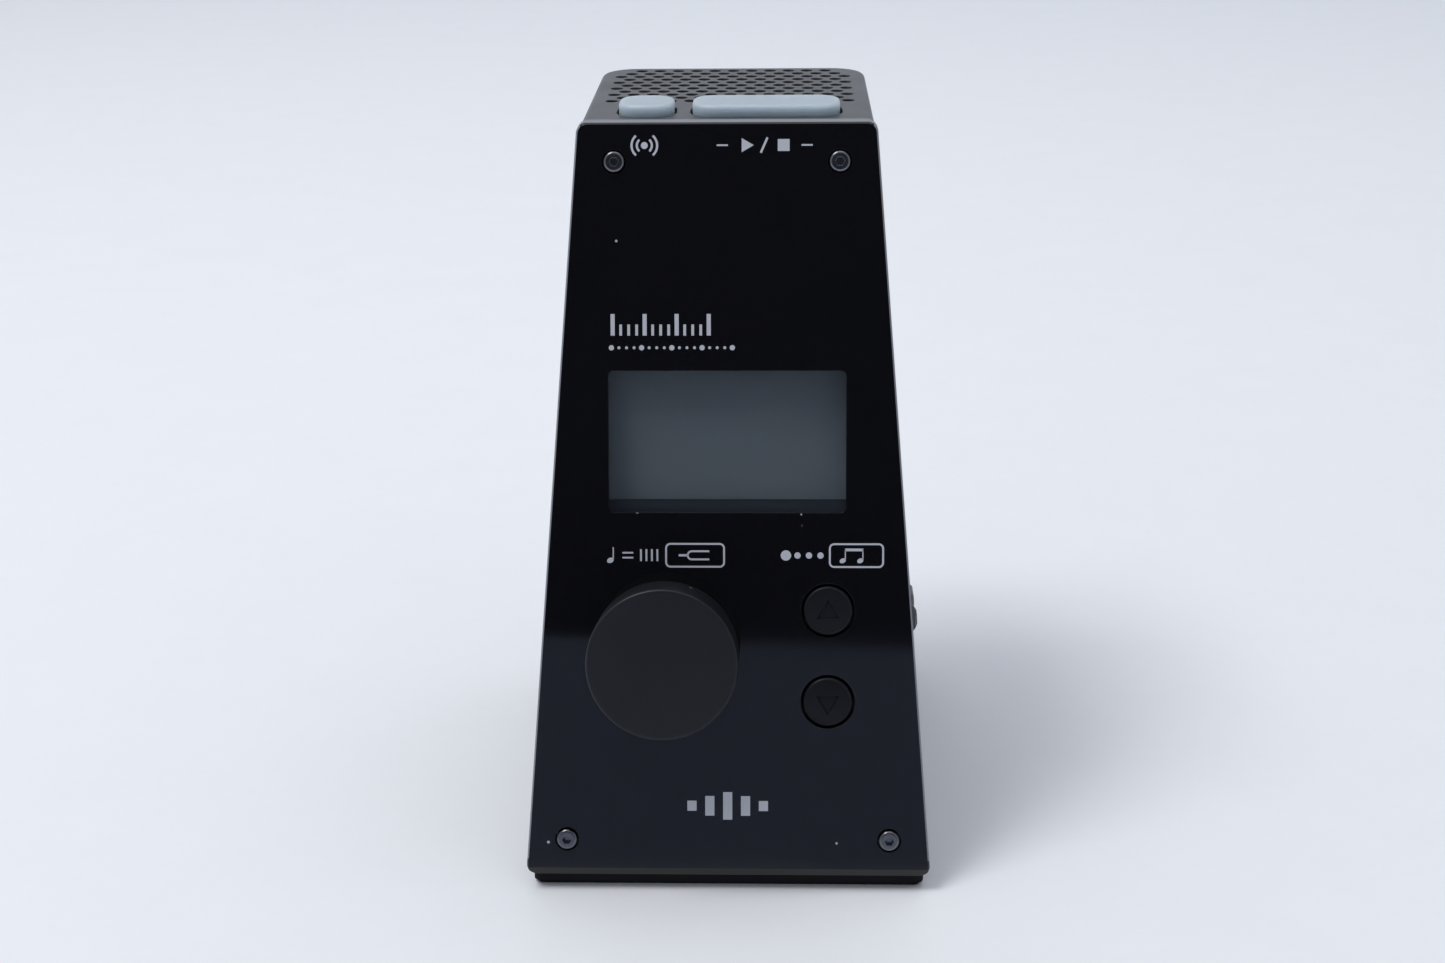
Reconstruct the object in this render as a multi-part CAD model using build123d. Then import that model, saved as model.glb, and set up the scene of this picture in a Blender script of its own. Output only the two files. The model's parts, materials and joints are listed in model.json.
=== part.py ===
from build123d import *

import os
from math import atan, cos, radians, sin, sqrt, tan

# Tower-shaped digital metronome, in millimetres.
# +X is the object's right as its front is faced, +Y is its back, +Z is up.
# The origin is the centre of the rubber pad's resting face.

# Front panel: a leaning trapezoid plate
lean = 15.9
panel_length = 138.2
panel_bottom_width = 75.0
panel_top_width = 54.0
panel_thickness = 2.8
panel_foot_y = -49.1
panel_foot_z = 3.2
panel_corner = 2.0
panel_edge_bevel = 0.3
foot_bevel_height = 1.5
foot_bevel_depth = 0.8

# Housing
shell_wall = 2.0
shell_bottom = 3.0
shell_top = 135.6
shell_back = 48.3
shell_foot_width = 72.8
shell_top_width = 53.2
rear_corner = 7.0
top_edge_round = 1.2

# Display
window_width = 43.2
window_height = 25.9
window_s = 80.8
window_corner = 1.0
window_gap = 0.04
display_centre_s = 79.8
display_width = 48.0
display_height = 34.0
display_thickness = 2.0
display_ledge = 6.0
backlight_thickness = 3.0

# Stack behind the panel, as depths along the panel's normal
chassis_thickness = 2.0
chassis_back = -(panel_thickness + chassis_thickness)
board_front = -11.5
board_thickness = 1.6
board_back = board_front - board_thickness

# Panel screws: place across and up the panel
panel_screw_places = [(-20.3, 131.25), (20.3, 131.25), (-29.8, 7.0), (29.8, 7.0)]
screw_radius = 1.0
screw_hole = 1.05
panel_screw_head = 1.9

# Tempo dial and its encoder
dial_x = -11.5
dial_s = 41.7
dial_radius = 13.7
dial_height = 11.0
dial_lift = 0.4
shaft_radius = 3.0
bushing_radius = 3.5
running_gap = 0.05

# Beat buttons
beat_x = 18.4
beat_up_s = 49.9
beat_down_s = 33.0
beat_radius = 4.475
beat_hole = 5.0
beat_proud = 0.4

# Buttons on the top
top_button_y = 2.1
top_button_depth = 10.9
top_button_proud = 2.0
top_button_corner = 4.0
top_button_gap = 0.45
tap_x = -15.1
tap_width = 10.2
start_x = 7.0
start_width = 27.2
start_switch_offset = 8.0
top_board_top = 123.2

# Tact switches, shared by every push button
switch_size = 6.0
switch_height = 3.5
stem_radius = 1.7
stem_gap = 0.1
stem_reach = 5.0
stem_inside = 2.0

# Grille
grille_rows = 11
grille_pitch = 3.74
grille_hole = 1.22
grille_rear_y = 44.4

# Speaker
speaker_y = 28.5
speaker_radius = 16.0
flange_top = 133.2
speaker_boss_reach = 12.9

# Controls on the right side, in a frame that lies in the side wall
side_height = 40.0
wheel_y = -14.3
wheel_radius = 8.0
wheel_thickness = 2.9
side_proud = 2.56
wheel_grips = 30
power_y = -1.6
power_z = -1.4
power_length = 6.4
power_height = 3.2
jack_y = 13.0
jack_bore = 1.8
jack_bore_length = 13.5
side_board_top = -5.0
side_board_thickness = 1.2

# Batteries and their bay
cell_radius = 5.25
cell_length = 44.5
cell_pitch = 11.0
cell_count = 4
cell_y = 40.4
bay_floor = 9.7
bay_roof = 59.0
bay_half_width = 22.2
bay_wall = 1.2
contact_thickness = 0.4
spring_height = 3.2
nub_height = 1.0
nub_radius = 2.75
bump_height = 0.8
door_half_width = 24.1
door_bottom = 7.8
door_top = 60.9
door_gap = 0.3

# Base
pad_thickness = 1.2
pad_recess = 0.4
base_bottom = pad_thickness - pad_recess
base_front = -47.0
base_screw_places = [(-31.5, -27.0), (31.5, -27.0), (-31.5, 38.0), (31.5, 38.0)]

# Leads
lead_radius = 0.55

# Derived values
sin_lean = sin(radians(lean))
cos_lean = cos(radians(lean))
wall_slope = (shell_foot_width - shell_top_width) / 2 / (shell_top - shell_bottom)
wall_angle = atan(wall_slope)
far = 200.0

panel_plane = Plane(
    origin=(0, panel_foot_y, panel_foot_z), x_dir=(1, 0, 0), z_dir=(0, -cos_lean, sin_lean)
)
panel = panel_plane.location


def wall_half_width(z):
    """Half the housing's outer width at a height."""
    return shell_foot_width / 2 - (z - shell_bottom) * wall_slope


side_plane = Plane(
    origin=(wall_half_width(side_height), 0, side_height),
    x_dir=(cos(wall_angle), 0, sin(wall_angle)),
    z_dir=(-sin(wall_angle), 0, cos(wall_angle)),
)
side = side_plane.location


# Small helpers

def block(x0, x1, y0, y1, z0, z1):
    """Box between two opposite corners."""
    return Pos((x0 + x1) / 2, (y0 + y1) / 2, (z0 + z1) / 2) * Box(x1 - x0, y1 - y0, z1 - z0)


def rod(x, y, z0, z1, radius):
    """Upright cylinder between two heights."""
    return Pos(x, y, (z0 + z1) / 2) * Cylinder(radius, z1 - z0)


def tube(x, y, z0, z1, outer, inner):
    """Upright pipe between two heights."""
    return rod(x, y, z0, z1, outer) - rod(x, y, z0 - 1, z1 + 1, inner)


def rounded_block(x, y, z0, z1, width, depth, corner):
    """Upright prism with rounded corners."""
    outline = RectangleRounded(width, depth, corner)
    return Pos(x, y, z0) * extrude(outline, z1 - z0)


def turned(*points):
    """Solid of revolution about Z from (radius, height) points."""
    return revolve(Plane.XZ * make_face(Polyline(*points, close=True)), Axis.Z)


def screw(head_radius, head_height, length, socket_radius):
    """Socket-head screw: the head stands on z = 0 and the shank points down."""
    head = rod(0, 0, 0, head_height, head_radius)
    head = fillet(head.faces().sort_by(Axis.Z)[-1].edges(), head_height * 0.25)
    socket = extrude(RegularPolygon(socket_radius, 6), head_height)
    head -= Pos(0, 0, head_height * 0.4) * socket
    return head + rod(0, 0, -length, 0.01, screw_radius)


def upside_down(shape):
    return Rot(180, 0, 0) * shape


def group(pieces):
    """Several separate solids as one node."""
    return Compound([solid for piece in pieces for solid in piece.solids()])


def tact_body():
    """Body of a tact switch, standing on z = 0, with the bore of its stem."""
    half = switch_size / 2
    body = block(-half, half, -half, half, 0, switch_height)
    body = chamfer(body.edges().filter_by(Axis.Z), 0.4)
    bore = rod(0, 0, switch_height - stem_inside - 0.9, switch_height + 1, stem_radius + stem_gap)
    return body - bore


def tact_stem():
    """Stem of a tact switch, at rest."""
    return rod(0, 0, switch_height - stem_inside + 0.5, stem_reach, stem_radius)


# Panel outline and housing block

def panel_half_width(s, inset=0.0):
    slope = (panel_bottom_width - panel_top_width) / 2 / panel_length
    return panel_bottom_width / 2 - s * slope - inset


def panel_trapezoid(s_low, s_high, inset):
    """Trapezoid in panel coordinates, inset from the panel's sides."""
    low = panel_half_width(s_low, inset)
    high = panel_half_width(s_high, inset)
    points = [(-low, s_low), (low, s_low), (high, s_high), (-high, s_high)]
    return make_face(Polyline(*points, close=True))


def tower(inset, bottom, top, corner):
    """Tapered block inside the housing's outline, with round rear corners."""
    edge = inset / cos(wall_angle)
    low = wall_half_width(bottom) - edge
    high = wall_half_width(top) - edge
    points = [(-low, bottom), (low, bottom), (high, top), (-high, top)]
    rear = Plane(origin=(0, shell_back - inset, 0), x_dir=(1, 0, 0), z_dir=(0, -1, 0))
    body = extrude(rear * make_face(Polyline(*points, close=True)), 2 * shell_back + 12)
    rear_face = body.faces().sort_by(Axis.Y)[-1]
    corners = [edge for edge in rear_face.edges() if abs(edge.tangent_at(0).X) < 0.5]
    return fillet(corners, corner)


def in_front_of(depth):
    """Everything in front of a plane parallel to the panel."""
    return panel * block(-far, far, -far, 2 * far, depth, far)


def housing_outline():
    body = tower(0, shell_bottom, shell_top, rear_corner) - in_front_of(-panel_thickness)
    roof = body.faces().sort_by(Axis.Z)[-1]
    return fillet(roof.edges().sort_by(Axis.Y)[1:], top_edge_round)


# Housing

def grille_places():
    """Staggered rows of holes; the rearmost row is shortened by the round corners."""
    places = []
    for row in range(grille_rows):
        y = grille_rear_y - row * grille_pitch * sqrt(3) / 2
        count = 13 - row % 2 if row else 11
        for column in range(count):
            places.append(((column - (count - 1) / 2) * grille_pitch, y))
    return places


def speaker_screw_places():
    reach = speaker_boss_reach
    return [(x, speaker_y + y) for x in (-reach, reach) for y in (-reach, reach)]


top_board_posts = [(-21.5, 10.2), (21.5, 10.2)]
tray_screw_places = [(x, z) for x in (-26.0, 26.0) for z in (18.0, 52.0)]
gusset_places = [-19.3, 18.8]


def housing_bosses():
    """Screw bosses, hanging posts and board gussets inside the housing."""
    ceiling = shell_top - shell_wall
    parts = []
    for x, s in panel_screw_places:
        outward = 1 if x > 0 else -1
        parts.append(panel * rod(x, s, -9.5, chassis_back, 2.5))
        rib = sorted((x, x + outward * 6.5))
        parts.append(panel * block(rib[0], rib[1], s - 1, s + 1, -9.5, chassis_back))
    for x, y in base_screw_places:
        parts.append(rod(x, y, shell_bottom, 13.0, 3.0))
    for x, y in speaker_screw_places():
        parts.append(rod(x, y, flange_top - 0.8, ceiling + 0.5, 2.0))
    for x, y in top_board_posts:
        parts.append(rod(x, y, top_board_top, ceiling + 0.5, 2.2))
    for x, z in tray_screw_places:
        parts.append(Pos(x, shell_back - 3.5, z) * Rot(90, 0, 0) * Cylinder(2.0, 5.0))
    for y in gusset_places:
        under = side_board_top - side_board_thickness
        parts.append(side * block(-18.5, -1.0, y - 2.5, y + 2.5, under - 3.5, under))
    return parts


def housing_bores():
    """Screw holes in the bosses, drilled after the bosses are joined to the walls."""
    holes = []
    for x, s in panel_screw_places:
        holes.append(panel * rod(x, s, -10.5, chassis_back + 1, screw_hole))
    for x, y in base_screw_places:
        holes.append(rod(x, y, shell_bottom - 1, 11.5, screw_hole))
    for x, y in speaker_screw_places():
        holes.append(rod(x, y, flange_top - 2, shell_top - 0.8, screw_hole))
    for x, y in top_board_posts:
        holes.append(rod(x, y, top_board_top - 1, top_board_top + 7, screw_hole))
    for x, z in tray_screw_places:
        holes.append(Pos(x, shell_back - 4.0, z) * Rot(90, 0, 0) * Cylinder(screw_hole, 5.0))
    for y in gusset_places:
        holes.append(side * rod(-15.5, y, -11.0, -5.0, screw_hole))
    return holes


def side_openings():
    """Wheel slot, power button window and phones hole in the right wall."""
    half_slot = wheel_thickness / 2 + 0.4
    slot = side * block(-6, 3, wheel_y - 7.6, wheel_y + 7.6, -half_slot, half_slot)
    half_length = power_length / 2 + door_gap
    half_height = power_height / 2 + door_gap
    low, high = power_z - half_height, power_z + half_height
    window = side * block(-6, 3, power_y - half_length, power_y + half_length, low, high)
    hole = side * Pos(-1.0, jack_y, 0) * Rot(0, 90, 0) * Cylinder(3.2, 6.0)
    return [slot, window, hole]


def main_shell():
    outline = housing_outline()
    cavity = tower(shell_wall, shell_bottom - 5, shell_top - shell_wall, rear_corner - shell_wall)
    shell = outline - cavity
    for part in housing_bosses():
        shell += part & outline
    for x, width in ((tap_x, tap_width), (start_x, start_width)):
        shell -= rounded_block(
            x, top_button_y, shell_top - 4, shell_top + 2,
            width + 2 * top_button_gap, top_button_depth + 2 * top_button_gap,
            top_button_corner + top_button_gap,
        )
    shell -= [rod(x, y, shell_top - shell_wall, shell_top + 1, grille_hole) for x, y in grille_places()]
    edge = door_gap
    shell -= block(
        -door_half_width - edge, door_half_width + edge,
        shell_back - shell_wall, shell_back + 1, door_bottom - edge, door_top + edge,
    )
    shell -= side_openings()
    return shell - housing_bores()


# Front panel and display

def front_panel():
    outline = panel_trapezoid(0, panel_length, 0)
    outline = fillet(outline.vertices(), panel_corner)
    plate = extrude(panel * outline, panel_thickness / cos_lean, dir=(0, 1, 0))
    normal = Vector(0, -cos_lean, sin_lean)
    front = [face for face in plate.faces() if face.normal_at().dot(normal) > 0.99][0]
    plate = chamfer(front.edges(), panel_edge_bevel)
    wedge = make_face(Polyline(
        (-foot_bevel_height, -2 * foot_bevel_depth),
        (2 * foot_bevel_height, foot_bevel_depth),
        (-foot_bevel_height, foot_bevel_depth),
        close=True,
    ))
    across = Plane(origin=(-50, 0, 0), x_dir=(0, 1, 0), z_dir=(1, 0, 0))
    plate -= panel * extrude(across * wedge, 100)
    window = rounded_block(0, window_s, -5, 1, window_width, window_height, window_corner)
    plate -= panel * window
    plate -= panel * rod(dial_x, dial_s, -5, 1, 6.6)
    for s in (beat_up_s, beat_down_s):
        plate -= panel * rod(beat_x, s, -5, 1, beat_hole)
    for x, s in panel_screw_places:
        plate -= panel * rod(x, s, -5, 1, screw_hole)
        plate -= panel * rod(x, s, -1.4, 1, panel_screw_head + 0.2)
        plate -= panel * Pos(x, s, -0.1) * Cone(panel_screw_head, panel_screw_head + 0.5, 0.6)
    return plate


def display_window():
    lens = rounded_block(
        0, window_s, -panel_thickness, 0,
        window_width - 2 * window_gap, window_height - 2 * window_gap, window_corner,
    )
    return panel * lens


def display_glass():
    """Two bonded sheets: the rear one is longer and carries the contact ledge at its foot."""
    half = display_width / 2
    low = display_centre_s - display_height / 2
    top = display_centre_s + display_height / 2
    rear = block(-half, half, low, top, chassis_back - display_thickness, chassis_back - 1.0)
    front = block(-half, half, low + 3.0, top, chassis_back - 1.0, chassis_back)
    return panel * (rear + front)


def display_backlight():
    half = display_width / 2 - 0.1
    low = display_centre_s - display_height / 2 + display_ledge
    top = display_centre_s + display_height / 2 - 0.1
    back = chassis_back - display_thickness
    guide = block(-half, half, low, top, back - backlight_thickness, back)
    return panel * chamfer(guide.edges().filter_by(Axis.Z), 0.8)


def display_connector():
    low = display_centre_s - display_height / 2
    return panel * block(-22, 22, low + 0.8, low + 3.4, board_front, chassis_back - display_thickness)


def display_bezel():
    """Frame that holds the glass, light guide and contact strip against the chassis."""
    outer_w = display_width + 4.0
    outer_h = display_height + 4.0
    frame = rounded_block(0, display_centre_s, board_front, chassis_back, outer_w, outer_h, 1.0)
    cavity_floor = chassis_back - display_thickness - backlight_thickness
    half_w = display_width / 2 + 0.1
    half_h = display_height / 2 + 0.1
    low = display_centre_s - half_h
    high = display_centre_s + half_h
    frame -= block(-half_w, half_w, low, high, cavity_floor, chassis_back + 1)
    frame -= block(-half_w, half_w, low, low + 4.0, board_front - 1, chassis_back + 1)
    return panel * frame


def front_chassis():
    """Plate behind the panel: it carries the display, the encoder, the buttons and the board."""
    low_s, high_s = 1.4, panel_length - 2.6
    back = (chassis_back + -panel_thickness) / 2

    def reach(s):
        z = panel_foot_z + s * cos_lean + back * sin_lean
        return wall_half_width(z) - shell_wall / cos(wall_angle) - 0.15

    low, high = reach(low_s), reach(high_s)
    points = [(-low, low_s), (low, low_s), (high, high_s), (-high, high_s)]
    plate = extrude(make_face(Polyline(*points, close=True)), chassis_thickness)
    plate = Pos(0, 0, chassis_back) * plate
    plate -= rounded_block(0, window_s, -9, 0, window_width + 1.2, window_height + 1.1, 1.0)
    plate -= rod(dial_x, dial_s, -9, 0, bushing_radius + 0.1)
    for s in (beat_up_s, beat_down_s):
        plate -= rod(beat_x, s, -9, 0, beat_radius + 0.3)
    for x, s in panel_screw_places:
        plate -= rod(x, s, -9, 0, screw_hole)
    for x, s in board_screw_places:
        plate += rod(x, s, board_front, chassis_back + 0.5, 2.3)
        plate -= rod(x, s, board_front - 1, chassis_back - 0.5, screw_hole)
    for side_sign in (-1, 1):
        x = side_sign * (display_width / 2 + 3.2)
        plate += block(x - 0.5, x + 0.5, 66, 94, chassis_back - 3, chassis_back + 0.5)
    return panel * plate


board_screw_places = [(x, s) for s, x in (
    (21.0, -27.0), (21.0, 27.0), (57.0, -27.4), (57.0, 27.4), (112.0, -20.5), (112.0, 20.5),
)]


def panel_screws():
    one = screw(panel_screw_head, 2.0, 7.5, 0.87)
    return group([panel * Pos(x, s, -1.4) * one for x, s in panel_screw_places])


# Main board

def main_board():
    points = [(-31.0, 13.0), (31.0, 13.0), (24.0, 118.0), (-24.0, 118.0)]
    board = extrude(make_face(Polyline(*points, close=True)), board_thickness)
    board = fillet(board.edges().filter_by(Axis.Z), 1.5)
    board = Pos(0, 0, board_back) * board
    board -= [rod(x, s, board_back - 1, board_front + 1, screw_hole) for x, s in board_screw_places]
    return panel * board


def board_screws():
    one = upside_down(screw(1.9, 1.3, 5.0, 0.87))
    return group([panel * Pos(x, s, board_back) * one for x, s in board_screw_places])


def board_components():
    """Processor, amplifier, regulator, crystal and capacitors on the board's rear face."""
    parts = []
    for x, s, width, depth, height in (
        (0, 72, 10.0, 10.0, 1.4), (-14, 92, 5.0, 4.0, 1.5), (12, 44, 4.0, 3.0, 1.3),
        (12, 78, 8.0, 3.2, 2.4), (-2, 30, 6.5, 3.6, 2.0),
    ):
        chip = block(-width / 2, width / 2, -depth / 2, depth / 2, -height, 0)
        chip = chamfer(chip.edges().filter_by(Axis.Z), 0.3)
        parts.append(panel * Pos(x, s, board_back) * chip)
    for x, s in ((-16, 100), (-5, 96), (2, 96), (-12, 24)):
        parts.append(panel * rod(x, s, board_back - 5.4, board_back, 2.5))
    for column in range(6):
        parts.append(panel * Pos(-12 + column * 3.0, 58, board_back - 0.3) * Box(1.0, 2.0, 0.6))
        parts.append(panel * Pos(4 + column * 2.6, 86, board_back - 0.3) * Box(1.0, 2.0, 0.6))
    return group(parts)


main_connectors = {"battery": (-20, 40), "speaker": (-12, 109), "top": (12, 111), "side": (21, 66)}
connector_height = 4.0


def board_connectors():
    """Plug-in housings for the leads, on the three boards."""
    parts = []
    for x, s in main_connectors.values():
        parts.append(panel * Pos(x, s, board_back - connector_height / 2) * Box(9.0, 4.5, connector_height))
    parts.append(block(7.5, 16.5, 8.0, 12.0, top_board_top - 1.6 - 2.0, top_board_top - 1.6))
    parts.append(side * block(-18.6, -14.6, 1.0, 7.0, side_board_top, side_board_top + 3.6))
    return group(parts)


# Tempo dial and encoder

def encoder_body():
    body = block(-6.2, 6.2, -6.0, 6.0, board_front, -5.0)
    body = chamfer(body.edges().filter_by(Axis.Z), 0.5)
    body += rod(0, 0, -5.1, 0.8, bushing_radius)
    body -= rod(0, 0, -9.3, 2, shaft_radius + running_gap)
    return panel * Pos(dial_x, dial_s, 0) * body


def encoder_nut():
    washer = tube(0, 0, -2.8, -2.4, 5.6, bushing_radius + 0.02)
    nut = Pos(0, 0, -2.4) * extrude(RegularPolygon(5.6, 6), 1.8)
    nut -= rod(0, 0, -3, 2, bushing_radius + 0.02)
    return panel * Pos(dial_x, dial_s, 0) * group([washer + nut])


def encoder_shaft():
    shaft = rod(0, 0, -9.0, 9.2, shaft_radius)
    shaft -= block(-4, 4, 2.0, 4, 2.4, 12)
    return panel * Pos(dial_x, dial_s, 0) * shaft


def tempo_dial():
    """Hollow knob: a skirt, a ribbed hub with a D-shaped bore, and a flat face."""
    knob = rod(0, 0, dial_lift, dial_height, dial_radius)
    knob = fillet(knob.faces().sort_by(Axis.Z)[-1].edges(), 0.45)
    knob = chamfer(knob.faces().sort_by(Axis.Z)[0].edges(), 0.3)
    knob -= rod(0, 0, dial_lift - 1, dial_height - 1.8, dial_radius - 1.7)
    knob += rod(0, 0, 1.6, dial_height - 1.5, 5.0)
    for turn in range(6):
        knob += Rot(0, 0, 60 * turn) * block(4.5, dial_radius - 1.5, -0.6, 0.6, 3.0, dial_height - 1.5)
    bore = rod(0, 0, 1, 9.2, shaft_radius) - block(-4, 4, 2.0, 4, 2.4, 12)
    knob -= bore
    return panel * Pos(dial_x, dial_s, 0) * knob


# Beat buttons

def beat_button(s, pointing):
    cap = rod(0, 0, chassis_back - 0.2, beat_proud, beat_radius)
    cap = fillet(cap.faces().sort_by(Axis.Z)[-1].edges(), 0.5)
    cap += rod(0, 0, chassis_back - 1.15, chassis_back - 0.15, beat_radius + 1.3)
    cap += rod(0, 0, board_front + stem_reach, chassis_back - 1, 1.6)
    triangle = Rot(0, 0, 90 * pointing) * RegularPolygon(2.3, 3)
    cap -= Pos(0, 0, beat_proud - 0.25) * extrude(triangle, 1)
    return panel * Pos(beat_x, s, 0) * cap


def beat_plunger(s):
    return panel * Pos(beat_x, s, board_front) * tact_stem()


def beat_switches():
    return group([panel * Pos(beat_x, s, board_front) * tact_body() for s in (beat_up_s, beat_down_s)])


# Buttons on the top

start_switch_places = [start_x - start_switch_offset, start_x + start_switch_offset]


def top_button(x, width, posts):
    """Translucent cup with a flange under the roof and a post over each switch."""
    crown = shell_top + top_button_proud
    cup = rounded_block(x, top_button_y, 132.2, crown, width, top_button_depth, top_button_corner)
    cup = fillet(cup.faces().sort_by(Axis.Z)[-1].edges(), 0.6)
    cup += rounded_block(
        x, top_button_y, 132.2, 133.3, width + 2.4, top_button_depth + 2.4, top_button_corner + 1.2
    )
    cup -= rounded_block(
        x, top_button_y, 131, crown - 1.6, width - 2.6, top_button_depth - 2.6, top_button_corner - 1.3
    )
    for post_x in posts:
        cup += rod(post_x, top_button_y, top_board_top + stem_reach, crown - 1, 1.6)
    return cup


def top_board():
    thickness = 1.6
    bottom = top_board_top - thickness
    board = block(-23.2, 23.2, -3.0, 13.0, bottom, top_board_top)
    board = fillet(board.edges().filter_by(Axis.Z), 1.0)
    return board - [rod(x, y, bottom - 1, top_board_top + 1, screw_hole) for x, y in top_board_posts]


def top_board_screws():
    one = upside_down(screw(1.9, 1.3, 7.0, 0.87))
    return group([Pos(x, y, top_board_top - 1.6) * one for x, y in top_board_posts])


def top_switches():
    places = [tap_x, *start_switch_places]
    return group([Pos(x, top_button_y, top_board_top) * tact_body() for x in places])


def top_plungers(places):
    return group([Pos(x, top_button_y, top_board_top) * tact_stem() for x in places])


def indicator_leds():
    """Small lamps that shine up into the translucent caps."""
    parts = []
    for x in (tap_x - 4.3, tap_x + 4.3, start_x - 2.5, start_x + 2.5):
        lamp = rounded_block(x, top_button_y, top_board_top, top_board_top + 0.8, 1.6, 3.2, 0.2)
        dome = Pos(x, top_button_y, top_board_top + 0.8) * Cone(0.7, 0.4, 0.5, align=(
            Align.CENTER, Align.CENTER, Align.MIN))
        parts.append(lamp + dome)
    return group(parts)


# Speaker, modelled about its own axis with its flange's top at z = 0

speaker = Pos(0, speaker_y, flange_top)


def speaker_frame():
    basket = turned(
        (speaker_radius, 0), (speaker_radius, -0.8), (15.0, -0.8), (14.9, -1.7), (10.0, -7.0),
        (4.8, -7.0), (4.8, -6.2), (9.5, -6.2), (14.3, -1.35), (14.3, 0),
    )
    for turn in range(4):
        basket -= Rot(0, 0, 45 + 90 * turn) * block(9.9, 13.6, -3.2, 3.2, -5.6, -2.4)
    tag = block(-5.0, 5.0, -11.6, -10.4, -7.6, -4.2)
    return speaker * (basket + tag)


def speaker_magnet():
    yoke = rod(0, 0, -10.6, -7.0, 8.6)
    yoke = chamfer(yoke.faces().sort_by(Axis.Z)[0].edges(), 0.5)
    yoke -= rod(0, 0, -10.0, -6.0, 4.75)
    return speaker * (yoke + rod(0, 0, -10.1, -6.6, 3.85))


def speaker_cone():
    """Paper cone with its voice-coil former and dust cap, as one light piece."""
    paper = turned(
        (4.5, -5.0), (12.4, -1.7), (12.4, -1.25), (12.0, -1.25), (4.1, -4.6), (4.1, -9.3), (4.5, -9.3)
    )
    cap = turned(
        (0, -3.6), (1.6, -3.75), (3.0, -4.1), (4.4, -4.7), (4.3, -5.1), (2.9, -4.5), (1.5, -4.1), (0, -4.0)
    )
    return speaker * (paper + cap)


def speaker_surround():
    """Half-round rubber roll between the cone's rim and the frame."""
    roll = revolve(Plane.XZ * Pos(13.15, -1.25) * (Circle(1.15) - Circle(0.75)), Axis.Z)
    return speaker * (roll - rod(0, 0, -4, -1.25, 16))


def speaker_clamp():
    ring = tube(0, 0, -2.0, -0.8, 16.7, 15.15)
    for x, y in speaker_screw_places():
        ring += rod(x, y - speaker_y, -2.0, -0.8, 2.5)
    ring -= rod(0, 0, -3, 0, 15.15)
    for x, y in speaker_screw_places():
        ring -= rod(x, y - speaker_y, -3, 0, screw_hole)
    return speaker * ring


def speaker_screws():
    one = upside_down(screw(1.9, 1.3, 3.4, 0.87))
    return group([Pos(x, y, flange_top - 2.0) * one for x, y in speaker_screw_places()])


def speaker_cloth():
    """Thin acoustic cloth between the grille and the speaker."""
    cloth = rounded_block(0, speaker_y - 0.2, flange_top, shell_top - shell_wall, 47.6, 34.6, 4.0)
    posts = speaker_screw_places() + top_board_posts
    return cloth - [rod(x, y, flange_top - 1, shell_top, 2.5) for x, y in posts]


# Side controls

wheel_centre = side_proud - wheel_radius


def volume_wheel():
    half = wheel_thickness / 2
    wheel = rod(0, 0, -half, half, wheel_radius)
    wheel = fillet(wheel.edges().filter_by(GeomType.CIRCLE), 0.5)
    for turn in range(wheel_grips):
        groove = Pos(wheel_radius + 0.25, 0, 0) * Cylinder(0.5, 2 * wheel_thickness)
        wheel -= Rot(0, 0, 360 * turn / wheel_grips) * groove
    wheel += rod(0, 0, -4.4, 0, 1.5)
    return side * Pos(wheel_centre, wheel_y, 0) * wheel


def volume_pot():
    body = block(-6.0, 3.0, -6.0, 6.0, side_board_top, -2.6)
    body = chamfer(body.edges().filter_by(Axis.Z), 0.8)
    body -= rod(0, 0, side_board_top + 0.3, 0, 1.5 + running_gap)
    return side * Pos(wheel_centre, wheel_y, 0) * body


def power_place(x):
    """A place on the power button's line of travel, whose own Z points out of the side wall."""
    return side * Pos(x, power_y, power_z) * Rot(0, 90, 0)


def power_button():
    """Oblong cap with an inner flange and a post that meets the switch stem."""
    cap = rounded_block(0, 0, -3.4, side_proud, power_height, power_length, 1.3)
    cap = fillet(cap.faces().sort_by(Axis.Z)[-1].edges(), 0.7)
    cap += rounded_block(0, 0, -3.4, -2.3, power_height + 1.8, power_length + 1.8, 2.0)
    cap += rod(0, 0, -4.8, -3.0, 1.4)
    return power_place(0) * cap


def power_switch():
    body = block(-10.0, -6.6, power_y - 3.5, power_y + 3.5, side_board_top, power_z + 2.6)
    return side * body - power_place(-7.6) * Cylinder(1.3, 3.0)


def power_plunger():
    return power_place(-6.3) * Cylinder(1.2, 3.0)


def phones_jack():
    body = block(-15.0, -2.1, jack_y - 3.6, jack_y + 3.6, side_board_top, 3.4)
    collar = Pos(-1.1, jack_y, 0) * Rot(0, 90, 0) * Cylinder(3.0, 2.2)
    bore = Pos(-jack_bore_length / 2, jack_y, 0) * Rot(0, 90, 0) * Cylinder(jack_bore, jack_bore_length)
    return side * (body + collar - bore)


def side_board():
    bottom = side_board_top - side_board_thickness
    board = block(-19.0, -2.6, -22.0, 21.5, bottom, side_board_top)
    board = fillet(board.edges().filter_by(Axis.Z), 1.0)
    holes = [rod(-15.5, y, bottom - 1, side_board_top + 1, screw_hole) for y in gusset_places]
    return side * (board - holes)


def side_board_screws():
    one = screw(1.9, 1.3, 4.4, 0.87)
    return group([side * Pos(-15.5, y, side_board_top) * one for y in gusset_places])


# Batteries

def cell_places():
    """Centre of each cell across the bay, and whether it points up."""
    first = -(cell_count - 1) / 2 * cell_pitch
    return [(first + number * cell_pitch, number % 2 == 0) for number in range(cell_count)]


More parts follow.
